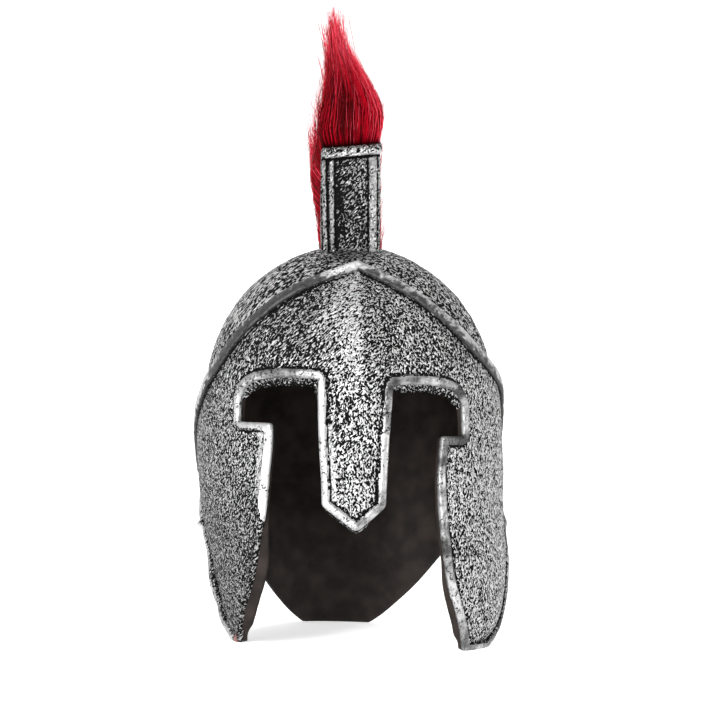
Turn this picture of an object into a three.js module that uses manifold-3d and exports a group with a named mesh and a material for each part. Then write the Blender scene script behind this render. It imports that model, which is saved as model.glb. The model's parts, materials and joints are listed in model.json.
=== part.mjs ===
// A costume helmet in the roman manner: a thin moulded bowl with a neck guard, a face guard with a
// T-shaped opening, a raised brow band, a rolled border, and a crest box that carries a red plume.
// Millimetres, +Z up. The face looks along -Y, and +X is the wearer's left, the viewer's right.
import * as THREE from 'three';
import { mergeVertices } from 'three/addons/utils/BufferGeometryUtils.js';
import Module from 'manifold-3d';

const wasm = await Module();
wasm.setup();

// Bowl and walls
const CROWN_HEIGHT = 312;      // from the surface it rests on to the top of the bowl
const BOWL_RISE = 120;         // from the widest level up to the top of the bowl
const BOWL_WIDTH = 228;
const BOWL_LENGTH = 256;
const PLAN_POWER = 2.15;       // 2 is an ellipse, more is squarer
const WALL = 5;                // moulded foam with a skin
const GAP = 0.3;               // clearance between pieces that touch
const SEAT = 0.5;              // clearance under a raised border, less the sag of its facets
const KEEL = 4.5;              // how far the soft ridge stands out down the brow and the nasal
const KEEL_TURN = 13;          // degrees from the middle to where the ridge has faded out
const KEEL_START = 0.3;        // shares of the way down the bowl between which the ridge rises
const KEEL_FULL = 0.75;

// Face guard, which laps over the bowl's front edge
const GUARD_WALL = 6;
const LAP = 12;
const EAR_TURN = 110;          // degrees round to where the brow band meets the cheek guard's back edge
const NASAL_WIDTH = 52;
const NASAL_TIP_HEIGHT = 93;
const NASAL_CHAMFER = 18;      // height of the slanted edges at the nasal's tip
const EYE_TOP_HEIGHT = 206;
const LEFT_EYE_TURN = 42.5;    // degrees round to the outer side of each eye
const RIGHT_EYE_TURN = 37.7;
const CHEEK_TOP_LEFT = 171;
const CHEEK_TOP_RIGHT = 164;

// Raised borders
const BAND_WIDTH = 10;
const BAND_HEIGHT = 2.8;
const BAND_SHOULDER = 6;       // how far the band slopes down onto the bowl
const RIM_WIDTH = 7;
const RIM_HEIGHT = 2.6;
const RIM_LIFT = 3;            // height of the border's edge under the cheek guards' tips
const STRIP_STEP = 14;         // the longest facet along a raised border

// Crest and plume
const CREST_WIDTH = 46;
const CREST_HEIGHT = 78;       // above the bowl at the front
const CREST_WALL = 4;
const CREST_FRONT = 38;        // how far the front plate stands ahead of the bowl's middle
const CREST_END_ANGLE = 100;   // degrees over from the top to the crest's lower end
const CREST_SHIFT = -2.3;      // the moulded crest sits a little off the middle
const CREST_LEAN = 1.5;        // degrees, towards -X
const CREST_SKEW = 2.5;        // degrees that it is turned, its front towards -X
const LIP_HEIGHT = 8;
const LIP_THICKNESS = 2.8;
const LIP_STAND = 2.6;         // how far the lip rises above the top of the box
const PLUME_LENGTH = 92;
const PLUME_SPREAD = 27;       // half the plume's width at its fullest
const PLUME_BACKING = 3;
const PLUME_INSET = 0.8;       // clearance between the backing and the lip round it
const LOCK_WIDTH = 17;
const LOCK_ROWS = 9;           // locks along the crest, three abreast
const LOCK_RIPPLE = 0.07;      // how much longer or shorter a lock is than its neighbours
const LOCK_SHORTER = 0.12;     // how much shorter the outer locks are

// How far a solid that cuts reaches past the wall that it cuts
const CUT_DEPTH = 25;
const CUT_MARGIN = 10;

const WIDEST = CROWN_HEIGHT - BOWL_RISE;
const BOWL_ARC = BOWL_RISE * Math.PI / 2;
const GUARD_OUTSIDE = GAP + GUARD_WALL;
const HALF_CREST = CREST_WIDTH / 2;

// Below the widest level: the reach to each side, as shares of the bowl's
const WALL_SECTIONS = [
  { level: -0.12, left: 0.71, right: 0.92, front: 0.97, back: 1.03 },
  { level: 0.00, left: 0.755, right: 0.985, front: 0.99, back: 0.97 },
  { level: 0.12, left: 0.80, right: 1.045, front: 1.01, back: 0.91 },
  { level: 0.30, left: 0.873, right: 1.072, front: 1.03, back: 0.86 },
  { level: 0.50, left: 0.948, right: 1.045, front: 1.035, back: 0.88 },
  { level: 0.75, left: 0.995, right: 1.03, front: 1.02, back: 0.96 },
  { level: 1.00, left: 1.00, right: 1.00, front: 1.00, back: 1.00 },
];

// The face guard's upper edge, under the brow band: height by degrees round, as shares of the crown's height
const BROW_SEAM = [
  { turn: 0, left: 0.933, right: 0.933 },
  { turn: 12, left: 0.913, right: 0.907 },
  { turn: 24, left: 0.889, right: 0.872 },
  { turn: 36, left: 0.845, right: 0.819 },
  { turn: 48, left: 0.777, right: 0.753 },
  { turn: 60, left: 0.699, right: 0.708 },
  { turn: 72, left: 0.635, right: 0.672 },
  { turn: 84, left: 0.587, right: 0.622 },
  { turn: 96, left: 0.532, right: 0.552 },
  { turn: 104, left: 0.474, right: 0.485 },
  { turn: 108, left: 0.426, right: 0.430 },
  { turn: 110, left: 0.391, right: 0.391 },
];

// The cheek guards' lower and back edge, as shares of the crown's height
const CHEEK_EDGE = [
  { turn: 0, left: -0.008, right: -0.008 },
  { turn: 57, left: -0.008, right: -0.008 },
  { turn: 61, left: 0.004, right: 0.007 },
  { turn: 65, left: 0.012, right: 0.019 },
  { turn: 70, left: 0.025, right: 0.039 },
  { turn: 75, left: 0.052, right: 0.070 },
  { turn: 80, left: 0.098, right: 0.130 },
  { turn: 85, left: 0.163, right: 0.212 },
  { turn: 90, left: 0.246, right: 0.288 },
  { turn: 95, left: 0.300, right: 0.319 },
  { turn: 100, left: 0.327, right: 0.337 },
  { turn: 105, left: 0.346, right: 0.350 },
  { turn: 110, left: 0.359, right: 0.359 },
];

// The neck guard's lower edge behind the ear, as shares of the crown's height
const NECK_EDGE = [
  { turn: 110, height: 0.391 },
  { turn: 114, height: 0.333 },
  { turn: 120, height: 0.295 },
  { turn: 128, height: 0.237 },
  { turn: 137, height: 0.173 },
  { turn: 146, height: 0.112 },
  { turn: 156, height: 0.054 },
  { turn: 163, height: 0.018 },
  { turn: 168, height: -0.008 },
  { turn: 180, height: -0.008 },
];

// The cheek guards' front edge: degrees round by height, as shares of the left cheek's top
const FRONT_EDGE = [
  { height: -0.12, left: 55, right: 46 },
  { height: 0.00, left: 51, right: 43 },
  { height: 0.10, left: 47, right: 39.2 },
  { height: 0.20, left: 41.2, right: 35.5 },
  { height: 0.30, left: 36.4, right: 32.1 },
  { height: 0.40, left: 33.6, right: 30.2 },
  { height: 0.50, left: 32.0, right: 28.9 },
  { height: 0.60, left: 30.4, right: 27.9 },
  { height: 0.70, left: 29.6, right: 27.3 },
  { height: 0.80, left: 29.1, right: 27.1 },
  { height: 0.90, left: 28.5, right: 27.8 },
  { height: 1.00, left: 28.6, right: 28.6 },
];

// The top of the eyes, from the nasal to the outer side: height as a share of the eyes' top
const EYE_TOP = [
  { across: 0.00, left: 0.955, right: 0.955 },
  { across: 0.12, left: 0.985, right: 0.970 },
  { across: 0.50, left: 1.000, right: 0.988 },
  { across: 0.80, left: 0.990, right: 0.978 },
  { across: 0.93, left: 0.968, right: 0.955 },
  { across: 1.00, left: 0.925, right: 0.915 },
];

// The nasal's edges above its chamfered tip: reach as shares of its width
const NASAL_EDGE = [
  { height: 0.00, left: 0.440, right: 0.370 },
  { height: 0.30, left: 0.470, right: 0.385 },
  { height: 0.60, left: 0.520, right: 0.405 },
  { height: 0.90, left: 0.545, right: 0.440 },
  { height: 1.00, left: 0.550, right: 0.450 },
];

// The crest's height above the bowl by degrees over from the top, as shares of its front height
const CREST_ARC = [
  { angle: -25, height: 1.00 },
  { angle: -11, height: 1.00 },
  { angle: 10, height: 1.00 },
  { angle: 30, height: 0.93 },
  { angle: 50, height: 0.78 },
  { angle: 70, height: 0.58 },
  { angle: 85, height: 0.43 },
  { angle: 101, height: 0.31 },
];

// The plume along the crest: length as a share of the plume's, and the lean of its tips in degrees
const PLUME_ROWS = [
  { angle: -11, length: 1.00, lean: 9 },
  { angle: 10, length: 0.98, lean: 7 },
  { angle: 40, length: 0.88, lean: 4 },
  { angle: 70, length: 0.78, lean: 2 },
  { angle: 98, length: 0.70, lean: 0 },
];

// A lock's sections from root to tip: widths as shares of its own, depths as shares of its room, and
// swell and gather as shares of how far the outer locks lean out and in
const LOCK_SECTIONS = [
  { along: 0.00, width: 0.85, depth: 0.50, swell: 0.00, gather: 0.00 },
  { along: 0.35, width: 1.20, depth: 0.72, swell: 0.94, gather: 0.06 },
  { along: 0.72, width: 0.95, depth: 0.62, swell: 0.61, gather: 0.26 },
  { along: 1.00, width: 0.20, depth: 0.12, swell: 0.00, gather: 0.50 },
];

// The corners of a lock's section, in half widths and half depths
const DIAMOND = [[-1, 0], [0, -1], [1, 0], [0, 1]];

// The corners of a slab's section, from its lower left
const SQUARE = [[0, 0], [1, 0], [1, 1], [0, 1]];

// Degrees round of the columns of facets, from the middle to the ear and from the ear to the back
const FACE_TURNS = [0, 3, 6.5, 10.5, 15, 20, 26, 32, 38, 44, 50, 57, 64, 71, 78, 85, 92, 98, 103, 107, 110];
const NECK_TURNS = [114, 120, 128, 137, 146, 156, 163, 168, 174, 180];
const CREST_ANGLES = [-25, -15, -5, 5, 15, 25, 35, 45, 55, 65, 75, 85, 93, 100];
const FIRST_RIM_TURN = 57;
const LAST_RIM_TURN = 103;

// Shares across an eye, across the mouth and across the nasal of the columns that cut them
const EYE_SHARES = [0, 0.12, 0.3, 0.5, 0.65, 0.8, 0.93, 1];
const MOUTH_SHARES = [0, 0.35, 0.7, 1];
const NASAL_SHARES = [-1, -0.8, -0.5, -0.25, 0, 0.25, 0.5, 0.8, 1];
const NASAL_ROWS = 6;

const radians = THREE.MathUtils.degToRad;
const mix = THREE.MathUtils.lerp;

// A smooth curve through a table's rows, level with its chords at the two ends
function read(table, key, column, at) {
  const last = table.length - 1;
  const place = THREE.MathUtils.clamp(at, table[0][key], table[last][key]);
  let i = 0;
  while (i < last - 1 && place > table[i + 1][key]) {
    i += 1;
  }
  const slope = (a, b) => (table[b][column] - table[a][column]) / (table[b][key] - table[a][key]);
  const width = table[i + 1][key] - table[i][key];
  const share = (place - table[i][key]) / width;
  const start = slope(Math.max(i - 1, 0), i + 1) * width;
  const end = slope(i, Math.min(i + 2, last)) * width;
  const s2 = share * share;
  const s3 = s2 * share;
  return (2 * s3 - 3 * s2 + 1) * table[i][column] + (s3 - 2 * s2 + share) * start
    + (3 * s2 - 2 * s3) * table[i + 1][column] + (s3 - s2) * end;
}

const sideOf = (turn) => (turn < 0 ? 'left' : 'right');

// The shell's surface is addressed by degrees round from the front and by drop, the way down from
// the crown along the surface
function heightAt(drop) {
  if (drop < BOWL_ARC) {
    return WIDEST + BOWL_RISE * Math.cos(drop / BOWL_RISE);
  }
  return WIDEST + BOWL_ARC - drop;
}

function dropAt(height) {
  if (height > WIDEST) {
    return BOWL_RISE * Math.acos(Math.min(1, (height - WIDEST) / BOWL_RISE));
  }
  return BOWL_ARC + WIDEST - height;
}

// The soft ridge stands out where the brow meets the nasal and fades out towards the crown
function keelAt(turn, drop) {
  const across = Math.max(0, 1 - Math.abs(turn) / KEEL_TURN);
  const down = THREE.MathUtils.smoothstep(drop, KEEL_START * BOWL_ARC, KEEL_FULL * BOWL_ARC);
  return KEEL * across * down;
}

function surfacePoint(turn, drop) {
  const height = heightAt(drop);
  const level = Math.min(1, height / WIDEST);
  const spread = drop < BOWL_ARC ? Math.sin(drop / BOWL_RISE) : 1;
  const angle = radians(turn);
  const side = Math.sin(angle) < 0 ? 'left' : 'right';
  const end = Math.cos(angle) < 0 ? 'back' : 'front';
  const halfWidth = BOWL_WIDTH / 2 * read(WALL_SECTIONS, 'level', side, level);
  const halfLength = BOWL_LENGTH / 2 * read(WALL_SECTIONS, 'level', end, level);
  const x = Math.abs(Math.sin(angle)) / halfWidth;
  const y = Math.abs(Math.cos(angle)) / halfLength;
  const reach = spread * (x ** PLAN_POWER + y ** PLAN_POWER) ** (-1 / PLAN_POWER) + keelAt(turn, drop);
  return new THREE.Vector3(reach * Math.sin(angle), -reach * Math.cos(angle), height);
}

function surfaceNormal(turn, drop) {
  const step = 0.2;
  if (drop < step) {
    return new THREE.Vector3(0, 0, 1);
  }
  const across = surfacePoint(turn + step, drop).sub(surfacePoint(turn - step, drop));
  const down = surfacePoint(turn, drop + step).sub(surfacePoint(turn, drop - step));
  return down.cross(across).normalize();
}

function shellPoint(turn, drop, offset) {
  return surfacePoint(turn, drop).addScaledVector(surfaceNormal(turn, drop), offset);
}

// The degrees round at which the surface reaches a given distance from the middle plane
function turnAt(x, height) {
  let low = 0;
  let high = 80;
  for (let i = 0; i < 30; i += 1) {
    const middle = (low + high) / 2;
    const reach = Math.abs(surfacePoint(Math.sign(x) * middle, dropAt(height)).x);
    if (reach < Math.abs(x)) {
      low = middle;
    } else {
      high = middle;
    }
  }
  return Math.sign(x) * (low + high) / 2;
}

// Closed meshes, turned so that their faces point out
function closedGeometry(positions, triangles) {
  const corner = (i) => new THREE.Vector3().fromArray(positions, 3 * i);
  let volume = 0;
  for (const [a, b, c] of triangles) {
    volume += corner(a).dot(corner(b).cross(corner(c)));
  }
  const order = volume < 0 ? ([a, b, c]) => [a, c, b] : (triangle) => triangle;
  const geometry = new THREE.BufferGeometry();
  geometry.setAttribute('position', new THREE.Float32BufferAttribute(positions, 3));
  geometry.setIndex(triangles.flatMap(order));
  return geometry;
}

function toSolid(geometry) {
  const bare = geometry.clone();
  bare.deleteAttribute('normal');
  bare.deleteAttribute('uv');
  const merged = mergeVertices(bare, 1e-4);
  const index = merged.index.array;
  const kept = [];
  for (let i = 0; i < index.length; i += 3) {
    const [a, b, c] = [index[i], index[i + 1], index[i + 2]];
    if (a !== b && b !== c && c !== a) {
      kept.push(a, b, c);
    }
  }
  return new wasm.Manifold(new wasm.Mesh({
    numProp: 3,
    vertProperties: new Float32Array(merged.attributes.position.array),
    triVerts: new Uint32Array(kept),
  }));
}

function toGeometry(solid) {
  const mesh = solid.getMesh();
  const geometry = new THREE.BufferGeometry();
  geometry.setAttribute('position', new THREE.BufferAttribute(new Float32Array(mesh.vertProperties), 3));
  geometry.setIndex(new THREE.BufferAttribute(new Uint32Array(mesh.triVerts), 1));
  return geometry;
}

function block(x0, x1, y0, y1, z0, z1) {
  const box = new THREE.BoxGeometry(x1 - x0, y1 - y0, z1 - z0);
  box.translate((x0 + x1) / 2, (y0 + y1) / 2, (z0 + z1) / 2);
  return toSolid(box);
}

// A curved plate on the shell's surface. Its columns run from top to bottom, each a list of
// [turn, drop] pairs, and it lies between two offsets along the surface's normal.
function plate(columns, inside, outside, closed = false) {
  const rows = columns[0].length;
  const positions = [];
  for (const offset of [outside, inside]) {
    for (const column of columns) {
      for (const [turn, drop] of column) {
        positions.push(...shellPoint(turn, drop, offset).toArray());
      }
    }
  }
  const layer = columns.length * rows;
  const at = (column, row, below) => (column % columns.length) * rows + row + (below ? layer : 0);
  const triangles = [];
  const quad = (a, b, c, d) => triangles.push([a, b, c], [a, c, d]);
  const spans = closed ? columns.length : columns.length - 1;
  for (let i = 0; i < spans; i += 1) {
    for (let j = 0; j < rows - 1; j += 1) {
      quad(at(i, j), at(i, j + 1), at(i + 1, j + 1), at(i + 1, j));
      quad(at(i, j, true), at(i + 1, j, true), at(i + 1, j + 1, true), at(i, j + 1, true));
    }
    quad(at(i, 0, true), at(i, 0), at(i + 1, 0), at(i + 1, 0, true));
    quad(at(i, rows - 1), at(i, rows - 1, true), at(i + 1, rows - 1, true), at(i + 1, rows - 1));
  }
  if (!closed) {
    for (let j = 0; j < rows - 1; j += 1) {
      quad(at(0, j), at(0, j, true), at(0, j + 1, true), at(0, j + 1));
      const end = columns.length - 1;
      quad(at(end, j, true), at(end, j), at(end, j + 1), at(end, j + 1, true));
    }
  }
  return closedGeometry(positions, triangles);
}

// A column of even rows between two drops, both at one turn
function column(turn, from, to, rows) {
  const points = [];
  for (let j = 0; j <= rows; j += 1) {
    points.push([turn, mix(from, to, j / rows)]);
  }
  return points;
}

// The edges as drops, heights and turns
const seamDrop = (turn) => dropAt(CROWN_HEIGHT * read(BROW_SEAM, 'turn', sideOf(turn), Math.abs(turn)));
const cheekEdgeHeight = (turn) => CROWN_HEIGHT * read(CHEEK_EDGE, 'turn', sideOf(turn), Math.abs(turn));
const neckEdgeHeight = (turn) => CROWN_HEIGHT * read(NECK_EDGE, 'turn', 'height', Math.abs(turn));
const frontEdgeTurn = (side, height) => {
  const turn = read(FRONT_EDGE, 'height', side, height / CHEEK_TOP_LEFT);
  return side === 'left' ? -turn : turn;
};
const bothSides = (turns) => [...turns.slice(1).reverse().map((turn) => -turn), ...turns];

// Below the surface that the helmet rests on
const underfoot = block(-BOWL_WIDTH, BOWL_WIDTH, -BOWL_LENGTH, BOWL_LENGTH, -BOWL_RISE, 0);

// Bowl, back and neck guard in one shell; its front edge lies under the face guard, where both
// walls have a row of facets at the same drop
function skull() {
  const rows = 12;
  const turns = bothSides([...FACE_TURNS, ...NECK_TURNS]).slice(1);
  const columns = turns.map((turn) => {
    if (Math.abs(turn) > EAR_TURN) {
      return column(turn, 0, dropAt(neckEdgeHeight(turn)), rows);
    }
    const seam = seamDrop(turn);
    return [...column(turn, 0, seam, rows - 1), [turn, seam + LAP]];
  });
  return toSolid(plate(columns, -WALL, 0, true)).subtract(underfoot);
}

// The opening for the eyes, the sides of the nose and the mouth, deep enough to cut through the wall
function eyeCut(side) {
  const sign = side === 'left' ? -1 : 1;
  const outer = side === 'left' ? LEFT_EYE_TURN : RIGHT_EYE_TURN;
  const bottom = side === 'left' ? CHEEK_TOP_LEFT : CHEEK_TOP_RIGHT;
  const columns = EYE_SHARES.map((share) => {
    const top = EYE_TOP_HEIGHT * read(EYE_TOP, 'across', side, share);
    return column(sign * outer * share, dropAt(top), dropAt(bottom), 2);
  });
  return toSolid(plate(columns, -CUT_DEPTH, CUT_DEPTH));
}

function mouthCut(side) {
  const top = side === 'left' ? CHEEK_TOP_LEFT : CHEEK_TOP_RIGHT;
  const heights = FRONT_EDGE.slice(0, -1).map((row) => row.height * CHEEK_TOP_LEFT);
  heights.push(top + CUT_MARGIN);
  heights.reverse();
  const edge = (height) => frontEdgeTurn(side, Math.min(height, top));
  const columns = MOUTH_SHARES.map((share) => {
    return heights.map((height) => [share * edge(height), dropAt(height)]);
  });
  return toSolid(plate(columns, -CUT_DEPTH, CUT_DEPTH));
}

function nasalEdgeTurn(side, height) {
  const length = EYE_TOP_HEIGHT - NASAL_TIP_HEIGHT;
  const share = THREE.MathUtils.clamp((height - NASAL_TIP_HEIGHT) / length, 0, 1);
  const reach = NASAL_WIDTH * read(NASAL_EDGE, 'height', side, share);
  return turnAt(side === 'left' ? -reach : reach, height);
}

// The nasal, which the cuts on both sides of it leave standing
function nasalKeep() {
  const top = EYE_TOP_HEIGHT + CUT_MARGIN;
  const columns = NASAL_SHARES.map((share) => {
    const lower = NASAL_TIP_HEIGHT + NASAL_CHAMFER * Math.abs(share);
    const points = [];
    for (let j = 0; j <= NASAL_ROWS; j += 1) {
      const height = mix(top, lower, j / NASAL_ROWS);
      const edge = nasalEdgeTurn(share < 0 ? 'left' : 'right', height);
      points.push([Math.abs(share) * edge, dropAt(height)]);
    }
    return points;
  });
  return toSolid(plate(columns, -CUT_DEPTH - WALL, CUT_DEPTH + WALL));
}

// Brow, nasal and cheek guards in one plate, cut through by the T-shaped opening
function faceGuard() {
  const rows = 12;
  const turns = bothSides(FACE_TURNS);
  const columns = turns.map((turn) => {
    const seam = seamDrop(turn);
    const lower = dropAt(cheekEdgeHeight(turn));
    const lap = Math.min(LAP, (lower - seam) / 2);
    return [[turn, seam], ...column(turn, seam + lap, lower, rows - 1)];
  });
  const opening = wasm.Manifold.union(['left', 'right'].flatMap((side) => [eyeCut(side), mouthCut(side)]));
  const blank = toSolid(plate(columns, GAP, GUARD_OUTSIDE));
  return blank.subtract(opening.subtract(nasalKeep())).subtract(underfoot);
}

// Adds points along a path on the surface until none are further apart than a step
function refine(corners, step) {
  const path = [corners[0]];
  for (let i = 1; i < corners.length; i += 1) {
    const [fromTurn, fromDrop] = corners[i - 1];
    const [toTurn, toDrop] = corners[i];
    const length = surfacePoint(fromTurn, fromDrop).distanceTo(surfacePoint(toTurn, toDrop));
    const parts = Math.ceil(length / step);
    for (let k = 1; k <= parts; k += 1) {
      path.push([mix(fromTurn, toTurn, k / parts), mix(fromDrop, toDrop, k / parts)]);
    }
  }
  return path;
}

// A raised strip along a path on the surface. The profile's points are [to the left, up], and the
// strip is mitred where the path turns.
function strip(corners, profile) {
  const path = refine(corners, STRIP_STEP);
  const points = path.map(([turn, drop]) => surfacePoint(turn, drop));
  const normals = path.map(([turn, drop]) => surfaceNormal(turn, drop));
  const positions = [];
  points.forEach((point, i) => {
    const before = points[Math.max(i - 1, 0)];
    const after = points[Math.min(i + 1, points.length - 1)];
    const normal = normals[i];
    const sideways = (from, to) => {
      const along = to.clone().sub(from).projectOnPlane(normal).normalize();
      return normal.clone().cross(along);
    };
    const into = i > 0 ? sideways(before, point) : sideways(point, after);
    const out = i < points.length - 1 ? sideways(point, after) : into;
    const mitre = into.clone().add(out).divideScalar(1 + into.dot(out));
    for (const [left, up] of profile) {
      const place = point.clone().addScaledVector(mitre, left).addScaledVector(normal, up);
      positions.push(...place.toArray());
    }
  });
  return tube(positions, points.length, profile);
}

// Joins rings of points, each in the order of a flat section's corners, into a closed tube
function tube(positions, rings, section) {
  const sides = section.length;
  const triangles = [];
  for (let i = 0; i < rings - 1; i += 1) {
    for (let k = 0; k < sides; k += 1) {
      const next = (k + 1) % sides;
      const [a, b] = [i * sides + k, i * sides + next];
      triangles.push([a, b, b + sides], [a, b + sides, a + sides]);
    }
  }
  const last = (rings - 1) * sides;
  const flat = section.map(([x, y]) => new THREE.Vector2(x, y));
  const area = THREE.ShapeUtils.area;
  for (const [a, p, q] of THREE.ShapeUtils.triangulateShape(flat, [])) {
    const alike = area([flat[a], flat[p], flat[q]]) * area(flat) > 0;
    const [b, c] = alike ? [p, q] : [q, p];
    triangles.push([a, c, b], [last + a, last + b, last + c]);
  }
  return closedGeometry(positions, triangles);
}

// The band round the face guard's upper edge, from ear to ear with its peak over the nose. Its
// section lies on the guard, steps down over the guard's edge and slopes onto the bowl.
function browBand() {
  const turns = bothSides([...FACE_TURNS.slice(0, -1), EAR_TURN - 1]);
  const path = turns.map((turn) => [turn, seamDrop(turn)]);
  const under = GUARD_OUTSIDE + SEAT;
  const top = under + BAND_HEIGHT;
  return strip(path, [
    [-BAND_WIDTH, under],
    [SEAT, under],
    [SEAT, SEAT],
    [BAND_SHOULDER, SEAT],
    [BAND_SHOULDER, 2 * SEAT],
    [SEAT, top],
    [-0.75 * BAND_WIDTH, top],
    [-BAND_WIDTH, under + BAND_HEIGHT / 2],
  ]);
}

// One side of the rolled border: up from the cheek guard's back edge, round its tip, up its front
// edge, round the eye and down the nasal
function borderPath(side) {
  const sign = side === 'left' ? -1 : 1;
  const outer = side === 'left' ? LEFT_EYE_TURN : RIGHT_EYE_TURN;
  const cheekTop = side === 'left' ? CHEEK_TOP_LEFT : CHEEK_TOP_RIGHT;
  const floorDrop = dropAt(RIM_LIFT);
  const path = [];
  const back = FACE_TURNS.filter((turn) => turn >= FIRST_RIM_TURN && turn <= LAST_RIM_TURN).reverse();
  for (const turn of back) {
    path.push([sign * turn, Math.min(floorDrop, dropAt(cheekEdgeHeight(sign * turn)))]);
  }
  path.push([frontEdgeTurn(side, 0), floorDrop]);
  for (const share of [0.1, 0.2, 0.3, 0.4, 0.5, 0.6, 0.7, 0.8, 0.9]) {
    const height = share * CHEEK_TOP_LEFT;
    path.push([frontEdgeTurn(side, height), dropAt(height)]);
  }
  path.push([frontEdgeTurn(side, cheekTop), dropAt(cheekTop)]);
  path.push([sign * outer, dropAt(cheekTop)]);
  for (const share of [1, 0.93, 0.8, 0.65, 0.5]) {
    path.push([sign * outer * share, dropAt(EYE_TOP_HEIGHT * read(EYE_TOP, 'across', side, share))]);
  }
  const cornerHeight = EYE_TOP_HEIGHT * read(EYE_TOP, 'across', side, 0.3);
  path.push([nasalEdgeTurn(side, cornerHeight), dropAt(cornerHeight)]);
  for (const share of [0.8, 0.6, 0.4, 0.2]) {
    const height = mix(NASAL_TIP_HEIGHT, EYE_TOP_HEIGHT, share);
    path.push([nasalEdgeTurn(side, height), dropAt(height)]);
  }
  return path;
}

function faceRim() {
  const tip = [0, dropAt(NASAL_TIP_HEIGHT)];
  const path = [...borderPath('left'), tip, ...borderPath('right').reverse()];
  const under = GUARD_OUTSIDE + SEAT;
  const top = under + RIM_HEIGHT;
  const shoulder = under + RIM_HEIGHT / 2;
  return strip(path, [
    [0, under],
    [RIM_WIDTH, under],
    [RIM_WIDTH, shoulder],
    [0.75 * RIM_WIDTH, top],
    [0.25 * RIM_WIDTH, top],
    [0, shoulder],
  ]);
}

// Crest pieces are addressed by degrees over from the top and by height above the bowl
function bowlReach(angle) {
  const over = radians(angle);
  const front = angle < 0 ? 'front' : 'back';
  const level = Math.min(1, 1 - BOWL_LENGTH / 2 * Math.max(0, -Math.cos(over)) / WIDEST);
  const halfLength = BOWL_LENGTH / 2 * read(WALL_SECTIONS, 'level', front, level);
  const rise = angle > 90 ? Infinity : BOWL_RISE;
  return 1 / Math.hypot(Math.sin(over) / halfLength, Math.cos(over) / rise);
}

function crestPoint(x, angle, radius) {
  const y = radius * Math.sin(radians(angle));
  const z = WIDEST + radius * Math.cos(radians(angle));
  const lean = (z - CROWN_HEIGHT) * Math.tan(radians(CREST_LEAN));
  const skew = y * Math.tan(radians(CREST_SKEW));
  return new THREE.Vector3(x + CREST_SHIFT + skew - lean, y, z);
}

const crestTop = (angle) => bowlReach(angle) + CREST_HEIGHT * read(CREST_ARC, 'angle', 'height', angle);

// A slab along the crest's arc with a flat upright front
function crestSlab(halfWidth, low, high, lastAngle, frontAt) {
  const positions = [];
  const angles = CREST_ANGLES.map((angle) => Math.min(angle, lastAngle));
  angles[angles.length - 1] = lastAngle;
  for (const angle of angles) {
    for (const [across, up] of SQUARE) {
      const x = mix(-halfWidth, halfWidth, across);
      const radius = mix(low(angle), high(angle), up);
      positions.push(...crestPoint(x, angle, radius).toArray());
    }
  }
  const slab = toSolid(tube(positions, angles.length, SQUARE));
  const ahead = block(-BOWL_WIDTH, BOWL_WIDTH, -BOWL_LENGTH, -frontAt, 0, 2 * CROWN_HEIGHT);
  return slab.subtract(ahead);
}

const angleFor = (length) => THREE.MathUtils.radToDeg(length / (BOWL_LENGTH / 2));

// A hollow box, open onto the bowl below
function crestBox() {
  const sunk = (angle) => bowlReach(angle) - CUT_MARGIN;
  const outer = crestSlab(HALF_CREST, sunk, crestTop, CREST_END_ANGLE, CREST_FRONT);
  const hollow = crestSlab(
    HALF_CREST - CREST_WALL,
    (angle) => sunk(angle) - CUT_MARGIN,
    (angle) => crestTop(angle) - CREST_WALL,
    CREST_END_ANGLE - angleFor(CREST_WALL),
    CREST_FRONT - CREST_WALL,
  );
  const turns = bothSides([...FACE_TURNS, ...NECK_TURNS]).slice(1);
  const columns = turns.map((turn) => column(turn, 0, dropAt(WIDEST / 2), 20));
  const bowl = toSolid(plate(columns, -2 * CUT_MARGIN, GAP, true));
  return outer.subtract(hollow).subtract(bowl);
}

// A rolled frame round the top of the box: its middle stands out and its edges lie further in
function crestLip() {
  const roll = 0.2 * LIP_HEIGHT;
  const low = LIP_STAND - LIP_HEIGHT;
  const frame = (side, bottom, top) => crestSlab(
    HALF_CREST + side,
    (angle) => crestTop(angle) + bottom,
    (angle) => crestTop(angle) + top,
    CREST_END_ANGLE + angleFor(side),
    CREST_FRONT + side,
  );
  const middle = frame(LIP_THICKNESS, low + roll, LIP_STAND - roll);
  const whole = frame(0.6 * LIP_THICKNESS, low, LIP_STAND);
  return middle.add(whole).subtract(frame(GAP, -2 * LIP_HEIGHT, 2 * LIP_HEIGHT));
}

// One lock of the plume: a four-sided tuft that swells and then tapers, with room in degrees
function lock(x, angle, room, length, lean) {
  const root = GAP + PLUME_BACKING / 2;
  const spread = (PLUME_SPREAD - HALF_CREST + LIP_STAND) / HALF_CREST;
  const positions = [];
  for (const { along, width, depth, swell, gather } of LOCK_SECTIONS) {
    const reach = crestTop(angle) + root + along * length;
    const centre = x * (1 + swell * spread - gather) - along * length * Math.tan(radians(lean));
    for (const [across, ahead] of DIAMOND) {
      const place = angle + ahead * room * depth;
      const slope = (crestTop(place) - crestTop(angle)) * (1 - along);
      const side = centre + across * LOCK_WIDTH * width / 2;
      positions.push(...crestPoint(side, place, reach + slope).toArray());
    }
  }
  return toSolid(tube(positions, LOCK_SECTIONS.length, SQUARE));
}

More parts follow.
